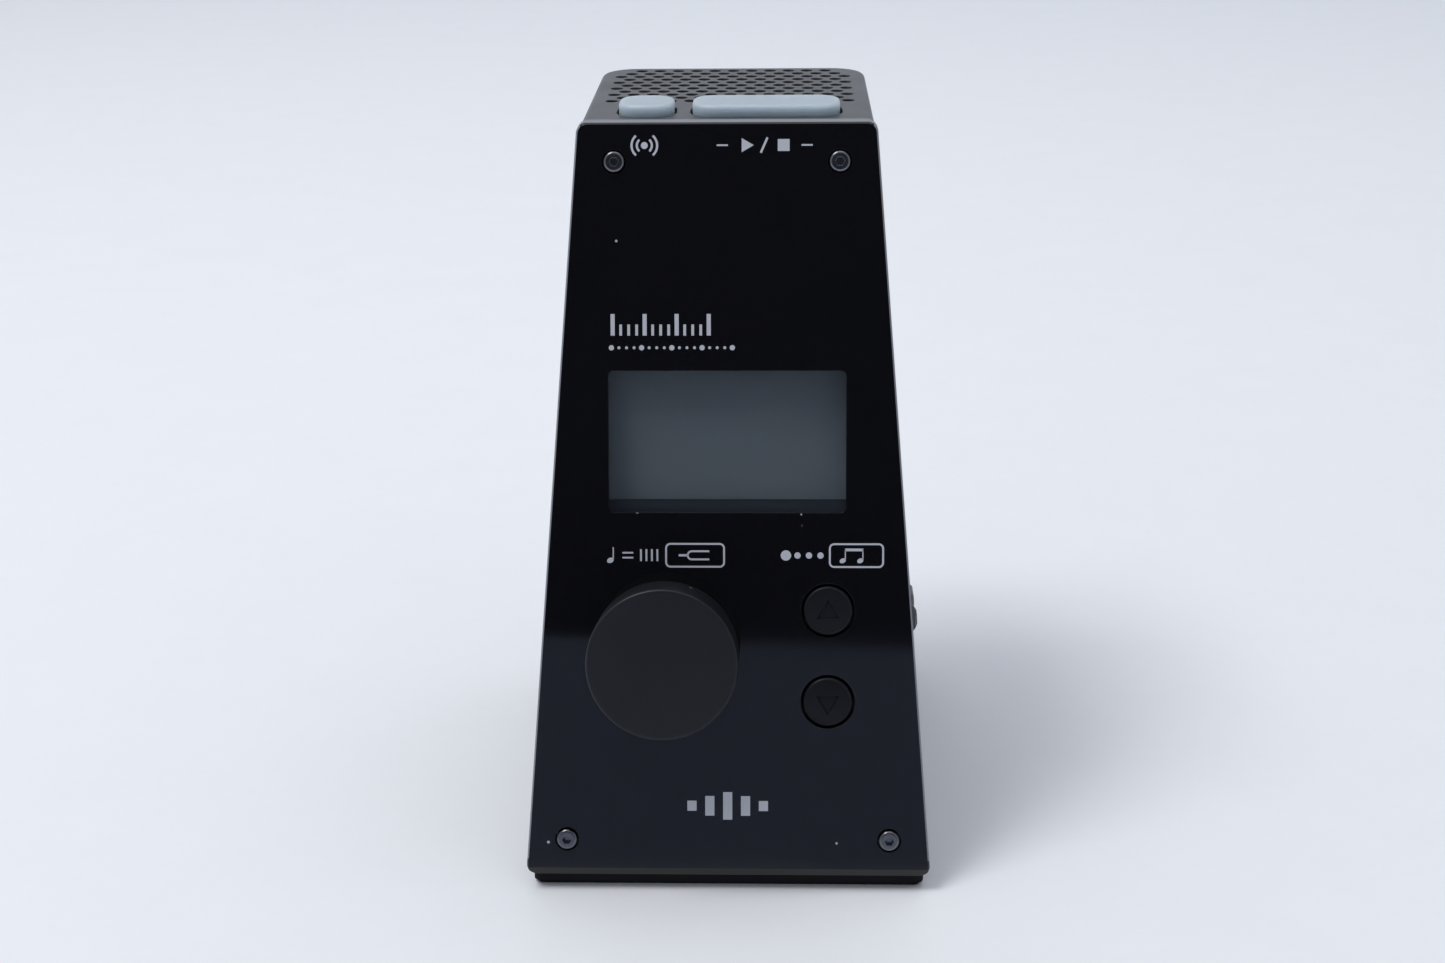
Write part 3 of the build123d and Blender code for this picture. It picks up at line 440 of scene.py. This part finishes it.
# Clear window: polished glass that lets the lamps' light through to the display.
def makeClear(name, look):
    material = bpy.data.materials.new(name)
    material.use_nodes = True
    tree = material.node_tree
    shader = tree.nodes["Principled BSDF"]
    shader.inputs["Base Color"].default_value = (*look["colour"], 1.0)
    shader.inputs["Transmission Weight"].default_value = 1.0
    shader.inputs["IOR"].default_value = look["ior"]
    handling = placeGroup(tree, handlingGroup, Scale=look["handlingScale"])
    tree.links.new(spread(tree, handling.outputs["Value"], *look["rough"]), shader.inputs["Roughness"])
    through = addNode(tree, "ShaderNodeBsdfTransparent")
    through.inputs["Color"].default_value = (*look["through"], 1.0)
    ray = addNode(tree, "ShaderNodeLightPath")
    share = mathNode(tree, "MAXIMUM", ray.outputs["Is Shadow Ray"], ray.outputs["Is Diffuse Ray"])
    either = addNode(tree, "ShaderNodeMixShader")
    tree.links.new(share, either.inputs["Fac"])
    tree.links.new(shader.outputs["BSDF"], either.inputs[1])
    tree.links.new(through.outputs["BSDF"], either.inputs[2])
    tree.links.new(either.outputs["Shader"], tree.nodes["Material Output"].inputs["Surface"])
    return material


clearWindow = {
    "colour": (0.93, 0.95, 0.96), "ior": 1.49, "rough": (0.0, 0.015), "handlingScale": 26.0,
    "through": (0.88, 0.90, 0.91),
}
paint(makeClear("clearWindow", clearWindow), "display_window")

displayGrey = {
    "colour": (0.112, 0.130, 0.146), "tone": 0.05, "rough": 0.34, "roughChange": 0.03,
    "grainSize": 0.25, "grainDepth": 0.002,
}
displayMaterial = makeFinish("displayGrey", displayGrey)
displayEdge = {
    "colour": (0.026, 0.032, 0.042), "tone": 0.1, "rough": 0.25, "grainSize": 0.4, "grainDepth": 0.001,
}
paint(makeFinish("displayEdge", displayEdge), "display_glass")

# Polarising film: a thin sheet on the glass, which stops short of the window's foot.
filmSheet = {"margin": 0.5, "footGap": 2.1, "corner": 0.6, "thickness": 0.12, "steps": 8}


# Rounded rectangle outline: four quarter circles, each about its own corner's centre.
def roundedOutline(width, height, corner, steps):
    quarter = np.linspace(0, np.pi / 2, steps)
    turns = np.arange(4)[:, None] * np.pi / 2
    angles = (quarter + turns).ravel()
    signX = np.repeat([1, -1, -1, 1], steps)
    signY = np.repeat([1, 1, -1, -1], steps)
    x = signX * (width / 2 - corner) + corner * np.cos(angles)
    y = signY * (height / 2 - corner) + corner * np.sin(angles)
    return x, y


# Slab: an outline at two depths, closed by a fan on each.
def slabPart(x, y, low, high):
    depth = np.array([low, high])[:, None]
    return gridPart(onPanel(x[None, :], y[None, :], depth))


def makeFilm():
    low, high = panelBox("display_window")
    glassTop = panelBox("display_glass")[1][2]
    margin, gap = filmSheet["margin"] * mm, filmSheet["footGap"] * mm
    foot, top = low[1] + gap, high[1] + margin
    width = high[0] - low[0] + 2 * margin
    x, y = roundedOutline(width, top - foot, filmSheet["corner"] * mm, filmSheet["steps"])
    part = slabPart(x, y + (foot + top) / 2, glassTop - 0.01 * mm, glassTop + filmSheet["thickness"] * mm)
    makePiece("display_film", part, "housing", displayMaterial, smooth=False)


makeFilm()
print("panel and display finished")


printGrey = {
    "colour": (0.47, 0.49, 0.55), "tone": 0.08, "rough": 0.5, "roughChange": 0.05,
    "grainSize": 0.12, "grainDepth": 0.002,
}
printMaterial = makeFinish("printGrey", printGrey)
markSizes = {"lift": 0.02, "sunk": 0.01, "line": 0.4, "steps": 40}


# Patch: the outline r(angle) about a centre, as a thin slab.
def patch(x, s, radius, angle):
    low, high = -markSizes["sunk"] * mm, markSizes["lift"] * mm
    return slabPart((x + radius * np.cos(angle)) * mm, (s + radius * np.sin(angle)) * mm, low, high)


def disc(x, s, radius):
    angle = np.linspace(0, fullTurn, markSizes["steps"], endpoint=False)
    return patch(x, s, np.full_like(angle, radius), angle)


# Tilted ellipse: r = a b / sqrt((b cos t)^2 + (a sin t)^2), with t counted from the long axis.
def noteHead(x, s, longHalf, shortHalf, tilt=0.45):
    angle = np.linspace(0, fullTurn, markSizes["steps"], endpoint=False)
    own = angle - tilt
    radius = longHalf * shortHalf / np.hypot(shortHalf * np.cos(own), longHalf * np.sin(own))
    return patch(x, s, radius, angle)


# Regular polygon: its corners stand at equal angles.
def polygon(x, s, radius, sides, turn):
    angle = turn + np.arange(sides) * fullTurn / sides
    return patch(x, s, np.full(sides, radius), angle)


# Stroke: at each station of the path the two sides stand half a width off along the path's own normal.
def stroke(x, s, width=None, closed=False):
    half = (width or markSizes["line"]) / 2
    path = np.stack([np.asarray(x, float), np.asarray(s, float)], axis=1)
    if closed:
        along = np.roll(path, -1, axis=0) - np.roll(path, 1, axis=0)
    else:
        along = np.gradient(path, axis=0)
    along /= np.linalg.norm(along, axis=1, keepdims=True)
    side = np.stack([-along[:, 1], along[:, 0]], axis=1) * half
    left, right = (path + side) * mm, (path - side) * mm
    low, high = -markSizes["sunk"] * mm, markSizes["lift"] * mm
    corners = [(left, low), (right, low), (right, high), (left, high)]
    points = np.stack([onPanel(edge[:, 0], edge[:, 1], out) for edge, out in corners], axis=1)
    return gridPart(points, wrapRows=closed)


def bar(x0, s0, x1, s1, width=None):
    share = np.linspace(0, 1, 3)
    return stroke(x0 + (x1 - x0) * share, s0 + (s1 - s0) * share, width)


# Arc: x = centre + r cos t, s = centre + r sin t between two angles.
def arc(x, s, radius, start, end, width=None):
    angle = np.linspace(start, end, 24)
    return stroke(x + radius * np.cos(angle), s + radius * np.sin(angle), width)


def frameBox(x, s, width, height):
    outX, outS = roundedOutline(width, height, 0.8, 8)
    return stroke(x + outX, s + outS, 0.34, closed=True)


# One note: a tilted head with a stem at its right side.
def note(x, s, size):
    parts = [noteHead(x, s, 0.62 * size, 0.45 * size)]
    stem = x + 0.5 * size
    parts.append(bar(stem, s + 0.1 * size, stem, s + 2.3 * size, 0.2 * size))
    return parts


dialPlace = panelCentre("tempo_dial") / mm
upPlace = panelCentre("beat_up_button") / mm
tapPlace = panelCentre("tap_button") / mm
startPlace = panelCentre("start_stop_button") / mm
windowLow, windowHigh = [corner / mm for corner in panelBox("display_window")]
screwTop = panelBox("panel_screws")[1][1] / mm

markPlaces = {
    "topRow": 1.0, "titleGap": 6.4, "subtitleGap": 4.2, "labelRise": 18.35, "emblemDrop": 28.3,
}


def tapMark():
    x, s = tapPlace[0] + 0.3, screwTop + markPlaces["topRow"]
    parts = [disc(x, s, 0.62)]
    for radius in (1.35, 2.3):
        parts.append(arc(x, s, radius, -0.85, 0.85))
        parts.append(arc(x, s, radius, np.pi - 0.85, np.pi + 0.85))
    return parts


def startStopMark():
    x, s = startPlace[0] - 0.2, screwTop + markPlaces["topRow"]
    parts = [polygon(x - 3.4, s, 1.45, 3, 0.0), polygon(x + 3.4, s, 1.5, 4, np.pi / 4)]
    parts.append(bar(x - 0.7, s - 1.35, x + 0.5, s + 1.35))
    parts += [bar(x + end - 1.0, s, x + end + 1.0, s, 0.3) for end in (-7.6, 7.6)]
    return parts


# A bar of beats: every fourth stroke is the tall one.
def titleMark():
    left, s = windowLow[0] + 0.4, windowHigh[1] + markPlaces["titleGap"]
    parts = []
    for beat in range(13):
        height = 3.9 if beat % 4 == 0 else 2.0
        x = left + 0.45 + beat * 1.45
        parts.append(bar(x, s, x, s + height, 0.75 if beat % 4 == 0 else 0.5))
    return parts


def subtitleMark():
    left, s = windowLow[0] + 0.6, windowHigh[1] + markPlaces["subtitleGap"]
    return [disc(left + beat * 1.37, s, 0.48 if beat % 4 == 0 else 0.27) for beat in range(17)]


# Tempo: a note equals a number of strokes. The box holds a tuning fork.
def tempoMark():
    x, s = dialPlace[0] - 9.9, dialPlace[1] + markPlaces["labelRise"]
    parts = note(x, s - 0.95, 1.05)
    parts += [bar(x + 2.2, s + step, x + 4.2, s + step, 0.3) for step in (-0.45, 0.45)]
    parts += [bar(x + 5.6 + 1.0 * beat, s - 1.1, x + 5.6 + 1.0 * beat, s + 1.1, 0.34) for beat in range(4)]
    centre = x + 15.5
    parts.append(frameBox(centre, s, 10.6, 4.2))
    parts.append(arc(centre - 0.6, s, 0.75, np.pi / 2, 1.5 * np.pi, 0.34))
    parts += [bar(centre - 0.6, s + step, centre + 2.6, s + step, 0.34) for step in (-0.75, 0.75)]
    parts.append(bar(centre - 1.3, s, centre - 3.0, s, 0.42))
    return parts


# Beats: one strong dot and three weak ones. The box holds a pair of joined notes.
def beatMark():
    x, s = upPlace[0] - 7.7, dialPlace[1] + markPlaces["labelRise"]
    parts = [disc(x, s, 0.95)] + [disc(x + 2.1 * beat, s, 0.58) for beat in (1, 2, 3)]
    centre = x + 12.85
    parts.append(frameBox(centre, s, 9.7, 4.2))
    for offset in (-2.4, 0.8):
        parts += note(centre + offset - 0.1, s - 0.95, 0.95)
    stems = [centre + offset - 0.1 + 0.475 for offset in (-2.4, 0.8)]
    parts.append(bar(stems[0] - 0.09, s + 1.05, stems[1] + 0.09, s + 1.05, 0.5))
    return parts


# Emblem: five plain upright bars, the middle one the tallest.
def emblemMark():
    s = dialPlace[1] - markPlaces["emblemDrop"]
    return [
        bar(3.3 * step, s - height / 2, 3.3 * step, s + height / 2, 1.7)
        for step, height in zip(range(-2, 3), (1.9, 3.7, 5.2, 3.7, 1.9))
    ]


for label, parts in (
    ("tap_mark", tapMark()), ("start_stop_mark", startStopMark()), ("title_mark", titleMark()),
    ("subtitle_mark", subtitleMark()), ("tempo_mark", tempoMark()), ("beat_mark", beatMark()),
    ("emblem_mark", emblemMark()),
):
    makePiece(label, joinParts(parts), "housing", printMaterial, smooth=False)
print("printed marks finished")


dialFinish = {
    "colour": (0.0068, 0.0082, 0.0125), "tone": 0.22, "rough": 0.44, "roughChange": 0.05,
    "grainSize": 0.16, "grainDepth": 0.008, "dust": 0.06, "dustFineness": 300.0,
    "set": {"Specular IOR Level": 0.34},
}
dialMaterial = makeFinish("dialSatin", dialFinish)
dialShape = {
    "lift": 0.4, "height": 11.0, "round": 0.45, "draft": 0.06, "wall": 1.7,
    "roof": 1.8, "hub": 5.0, "hubLift": 1.6, "bore": 3.02, "boreDepth": 9.2, "around": 288, "arcSteps": 9,
}


# Quarter round: centre + r (cos t, sin t) between two angles, as (radius, height) rows.
def quarterRound(radius, height, size, start, end, steps):
    angle = np.linspace(start, end, steps)
    return np.stack([radius + size * np.cos(angle), height + size * np.sin(angle)], axis=1)


# Even points along one straight stretch of a profile.
def straight(start, end, steps):
    share = np.linspace(0, 1, steps)[:, None]
    return np.array(start) + (np.array(end) - np.array(start)) * share


# Lathe: each (radius, height) of the profile is carried round the axis by every angle.
def lathe(profile, centre, around, outward=normalOut, across=rightWay, up=upWay):
    angle = np.linspace(0, fullTurn, around, endpoint=False)
    radius, height = profile[:, 0, None, None] * mm, profile[:, 1, None, None] * mm
    spoke = np.cos(angle)[:, None] * across + np.sin(angle)[:, None] * up
    return centre + radius * spoke[None] + height * outward


def makeDial():
    d = dialShape
    low, high = panelBox("tempo_dial")
    r, top, edge = (high[0] - low[0]) / 2 / mm, d["height"], d["round"]
    inner, roof, steps = r - d["wall"], top - d["roof"], d["arcSteps"]
    profile = np.concatenate([
        straight((0.05, d["boreDepth"]), (d["bore"], d["boreDepth"]), 4),
        straight((d["bore"], d["boreDepth"]), (d["bore"], d["hubLift"]), 6)[1:],
        straight((d["bore"], d["hubLift"]), (d["hub"], d["hubLift"]), 4)[1:],
        straight((d["hub"], d["hubLift"]), (d["hub"], roof), 6)[1:],
        straight((d["hub"], roof), (inner, roof), 6)[1:],
        straight((inner, roof), (inner, d["lift"]), 8)[1:],
        straight((inner, d["lift"]), (r - 0.25, d["lift"]), 4)[1:],
        quarterRound(r - 0.25, d["lift"] + 0.25, 0.25, -np.pi / 2, 0, 5)[1:],
        straight((r, d["lift"] + 0.25), (r - d["draft"], top - edge), 14)[1:],
        quarterRound(r - d["draft"] - edge, top - edge, edge, 0, np.pi / 2, steps)[1:],
        straight((r - d["draft"] - edge, top), (r - 1.4, top), 3)[1:],
        straight((r - 1.4, top), (0.05, top), 24)[1:],
    ])
    centre = onPanel((low[0] + high[0]) / 2, (low[1] + high[1]) / 2, 0.0)
    part = gridPart(lathe(profile, centre, d["around"]))
    makePiece("tempo_knob", part, "tempo_dial", dialMaterial, replaced=("tempo_dial",))


makeDial()


buttonFinish = {
    "colour": (0.0052, 0.0060, 0.0088), "tone": 0.15, "rough": 0.42, "roughChange": 0.06,
    "grainSize": 0.14, "grainDepth": 0.004, "dust": 0.1, "dustFineness": 420.0,
    "set": {"Specular IOR Level": 0.2},
}
buttonMaterial = makeFinish("buttonSatin", buttonFinish)
buttonShape = {
    "radius": 4.475, "round": 0.5, "crown": 0.22, "flange": 1.3, "flangeTop": -4.95, "flangeDepth": 1.0,
    "post": 1.6, "postEnd": -6.5, "triangle": 2.3, "sink": 0.45, "slope": 0.2, "around": 360,
}


# Signed distance to a triangle: the largest of the three sides' distances.
def triangleDistance(x, y, size, pointing):
    sides = pointing * np.pi / 2 + np.pi / 3 + np.arange(3) * fullTurn / 3
    reach = x[..., None] * np.cos(sides) + y[..., None] * np.sin(sides)
    return reach.max(axis=-1) - size / 2


# Cap: a lathe whose top is crowned by a parabola and sunk where the triangle is,
# with a smooth step for the triangle's walls.
def makeBeatCap(name, node, body, pointing, drop):
    b = buttonShape
    r, edge, rim = b["radius"], b["round"], b["radius"] + b["flange"]
    top = panelBox(node)[1][2] / mm
    low = b["flangeTop"] - b["flangeDepth"]
    profile = np.concatenate([
        straight((0.03, b["postEnd"]), (b["post"], b["postEnd"]), 3),
        straight((b["post"], b["postEnd"]), (b["post"], low), 3)[1:],
        straight((b["post"], low), (rim, low), 4)[1:],
        straight((rim, low), (rim, b["flangeTop"]), 3)[1:],
        straight((rim, b["flangeTop"]), (r, b["flangeTop"]), 4)[1:],
        straight((r, b["flangeTop"]), (r, top - edge), 16)[1:],
        quarterRound(r - edge, top - edge, edge, 0, np.pi / 2, 9)[1:],
        straight((r - edge, top), (0.03, top), 96)[1:],
    ])
    centre = onPanel(*(panelCentre(node)[:2]), 0.0)
    points = lathe(profile, centre, b["around"])
    away = points - centre
    x, y = away @ rightWay / mm, away @ upWay / mm
    onTop = (profile[:, 1] > top - 0.01)[:, None] & np.ones_like(x, bool)
    share = np.clip(np.hypot(x, y) / (r - edge), 0, 1)
    distance = triangleDistance(x, y - drop, b["triangle"], pointing)
    step = np.clip(0.5 - distance / b["slope"], 0, 1)
    step = step * step * (3 - 2 * step)
    lower = np.where(onTop, b["crown"] * share ** 2 + b["sink"] * step, 0.0)
    points = points - (lower * mm)[..., None] * normalOut
    makePiece(name, gridPart(points), body, buttonMaterial, replaced=(node,))


makeBeatCap("beat_up_cap", "beat_up_button", "beat_up", 1, -0.3)
makeBeatCap("beat_down_cap", "beat_down_button", "beat_down", -1, -0.1)
print("dial and beat buttons finished")


milkyCap = {
    "colour": (0.37, 0.45, 0.53), "tone": 0.03, "rough": 0.4, "roughChange": 0.05, "grainSize": 0.2,
    "grainDepth": 0.003, "edge": 0.15, "set": {
        "Subsurface Weight": 1.0, "Subsurface Radius": (1.0, 1.0, 1.0), "Subsurface Scale": 0.009,
    },
}
paint(makeFinish("milkyCap", milkyCap), "tap_button", "start_stop_button")

wheelFinish = {
    "colour": (0.012, 0.012, 0.014), "tone": 0.2, "rough": 0.45, "grainSize": 0.2, "grainDepth": 0.005,
    "edge": 0.12, "wear": 0.4, "wearColour": (0.05, 0.05, 0.055), "dust": 0.05,
}
paint(makeFinish("wheelSatin", wheelFinish), "volume_wheel")

powerFinish = {
    "colour": (0.11, 0.11, 0.12), "tone": 0.1, "rough": 0.38, "grainSize": 0.2, "grainDepth": 0.004,
    "edge": 0.15, "wear": 0.4, "wearColour": (0.2, 0.2, 0.21),
}
paint(makeFinish("powerSatin", powerFinish), "power_button")


innerFinishes = {
    "innerPlastic": ({"colour": (0.02, 0.02, 0.022), "rough": 0.55}, (
        "display_bezel", "front_chassis", "encoder_body", "speaker_frame", "speaker_clamp", "volume_pot",
        "power_switch", "phones_jack", "battery_tray", "beat_switches", "top_switches",
    )),
    "stemPlastic": ({"colour": (0.03, 0.03, 0.033), "rough": 0.4, "grainSize": 0.2}, (
        "beat_up_plunger", "beat_down_plunger", "tap_plunger", "start_stop_plungers", "power_plunger",
    )),
    "solderMask": ({"colour": (0.015, 0.09, 0.04), "rough": 0.32, "grainSize": 0.8, "edge": 0.1}, (
        "main_board", "top_board", "side_board",
    )),
    "chipEpoxy": ({"colour": (0.015, 0.015, 0.017), "rough": 0.6, "edge": 0.1}, ("board_components",)),
    "ivoryNylon": ({"colour": (0.62, 0.58, 0.48), "rough": 0.45, "edge": 0.12}, ("board_connectors",)),
    "guideMilk": ({"colour": (0.72, 0.75, 0.76), "rough": 0.3, "tone": 0.04}, ("display_backlight",)),
    "contactStrip": ({"colour": (0.22, 0.21, 0.19), "rough": 0.8}, ("display_connector",)),
    "lampLens": ({"colour": (0.7, 0.68, 0.6), "rough": 0.2, "tone": 0.04}, ("indicator_leds",)),
    "springSteel": ({
        "colour": (0.62, 0.61, 0.58), "rough": 0.26, "grainSize": 0.4, "set": {"Metallic": 1.0},
    }, (
        "encoder_nut", "encoder_shaft", "contact_springs", "contact_plates",
    )),
    "magnetIron": ({"colour": (0.2, 0.2, 0.2), "rough": 0.42, "edge": 0.2, "set": {"Metallic": 1.0}}, (
        "speaker_magnet",
    )),
    "conePaper": ({"colour": (0.025, 0.024, 0.023), "rough": 0.85, "grainSize": 0.7, "grainDepth": 0.05}, (
        "speaker_cone",
    )),
    "rollRubber": ({"colour": (0.012, 0.012, 0.013), "rough": 0.6}, ("speaker_surround",)),
    "cellJacket": ({
        "colour": (0.05, 0.12, 0.16), "rough": 0.25, "set": {"Coat Weight": 0.4},
    }, ("battery_cells",)),
    "leadJacket": ({"colour": (0.32, 0.03, 0.025), "rough": 0.45}, (
        "battery_leads", "speaker_leads", "side_leads",
    )),
    "flatCable": ({"colour": (0.45, 0.46, 0.48), "rough": 0.4}, ("top_ribbon",)),
}
for label, (look, nodes) in innerFinishes.items():
    paint(makeFinish(label, look), *nodes)
print("controls and inner parts finished")


stageShape = {"front": -2.4, "rear": 1.5, "bend": 0.6, "top": 2.6, "half": 2.6}
stageFinish = {
    "colour": (0.81, 0.83, 0.872), "tone": 0.012, "rough": 0.7, "grainSize": 3.0, "grainDepth": 0.01,
}
boardShape = {"y": -0.92, "half": 0.6, "height": 0.138, "thickness": 0.012, "tilt": -0.03}
flagShape = {"y": -1.05, "half": 0.42, "bottom": 0.12, "top": 0.78, "thickness": 0.01}
flagFinish = {"colour": (0.034, 0.034, 0.06), "tone": 0.1, "rough": 0.95, "grainSize": 2.0}
cardFinish = {"colour": (0.36, 0.41, 0.57), "tone": 0.02, "rough": 0.7, "grainSize": 3.0}


# The cards only light the object, so the camera doesn't see them.
def stagePiece(name, part, material, smooth=True, seen=True):
    piece = makeObject(name, part, material, smooth)
    piece.visible_camera = seen


# Sweep: flat floor, a quarter circle at the rear, then an upright wall, carried across the width.
def makeSweep():
    g = stageShape
    angle = np.linspace(0, np.pi / 2, 24)
    y = np.concatenate([[g["front"], 0.0], g["rear"] + g["bend"] * np.sin(angle), [g["rear"] + g["bend"]]])
    z = np.concatenate([[0.0, 0.0], g["bend"] * (1 - np.cos(angle)), [g["top"]]])
    x = np.linspace(-g["half"], g["half"], 5)
    points = np.stack(np.broadcast_arrays(-x[None, :], y[:, None], z[:, None]), axis=-1)
    part = gridPart(points, wrapColumns=False, caps=False)
    stagePiece("floor", part, makeFinish("paleSweep", stageFinish))


# Upright card: four corners carried through its thickness.
def cardPart(y, half, bottom, top, thickness, tilt=0.0):
    x = np.array([-half, half, half, -half])
    z = np.array([bottom, bottom, top, top]) + tilt * x * np.array([0, 0, 1, 1])
    points = np.stack([
        np.stack([x, np.full(4, depth), z], axis=1) for depth in (y, y - thickness)
    ])
    return gridPart(points)


makeSweep()
board, flag = boardShape, flagShape
stagePiece(
    "front_board",
    cardPart(board["y"], board["half"], 0.0, board["height"], board["thickness"], board["tilt"]),
    makeFinish("paleCard", cardFinish), smooth=False, seen=False,
)
stagePiece(
    "front_flag", cardPart(flag["y"], flag["half"], flag["bottom"], flag["top"], flag["thickness"]),
    makeFinish("darkCard", flagFinish), smooth=False, seen=False,
)

lamps = {
    "keyLamp": {
        "place": (-0.87, -0.33, 1.95), "aim": (0.0, 0.0, 0.05), "size": 0.72, "power": 19.5,
        "colour": (1.0, 0.985, 0.965),
    },
    "topLamp": {
        "place": (0.1, 0.5, 1.7), "aim": (0.0, 0.3, 0.0), "size": 1.6, "power": 7.5,
        "colour": (0.95, 0.97, 1.0),
    },
}
skyFinish = {"colour": (0.90, 0.94, 1.0), "strength": 0.52}


def makeLamp(name, look):
    lamp = bpy.data.lights.new(name, "AREA")
    lamp.shape, lamp.size, lamp.energy = "SQUARE", look["size"], look["power"]
    lamp.color = look["colour"]
    piece = bpy.data.objects.new(name, lamp)
    away = Vector(look["aim"]) - Vector(look["place"])
    piece.rotation_mode = "QUATERNION"
    piece.rotation_quaternion = away.to_track_quat("-Z", "Y")
    piece.location = look["place"]
    piece.visible_camera = False
    bpy.context.scene.collection.objects.link(piece)


for label, look in lamps.items():
    makeLamp(label, look)

world = bpy.data.worlds.new("paleSky")
world.use_nodes = True
background = world.node_tree.nodes["Background"]
background.inputs["Color"].default_value = (*skyFinish["colour"], 1.0)
background.inputs["Strength"].default_value = skyFinish["strength"]
bpy.context.scene.world = world
bpy.context.scene.view_settings.view_transform = "Standard"

eye = {"place": (0.00963, -0.37428, 0.20841), "down": 21.26, "left": 1.74, "roll": -0.57, "lens": 50.74}
camera = bpy.data.objects.new("eye", bpy.data.cameras.new("eye"))
camera.data.lens, camera.data.sensor_width = eye["lens"], 36.0
camera.data.clip_start, camera.data.clip_end = 0.01, 50.0
turn = Euler((0, 0, np.radians(eye["left"]))).to_matrix()
turn = turn @ Euler((np.radians(90 - eye["down"]), 0, 0)).to_matrix()
turn = turn @ Euler((0, 0, np.radians(eye["roll"]))).to_matrix()
camera.matrix_world = Matrix.Translation(eye["place"]) @ turn.to_4x4()
bpy.context.scene.collection.objects.link(camera)
bpy.context.scene.camera = camera
print("stage, lamps and camera finished")
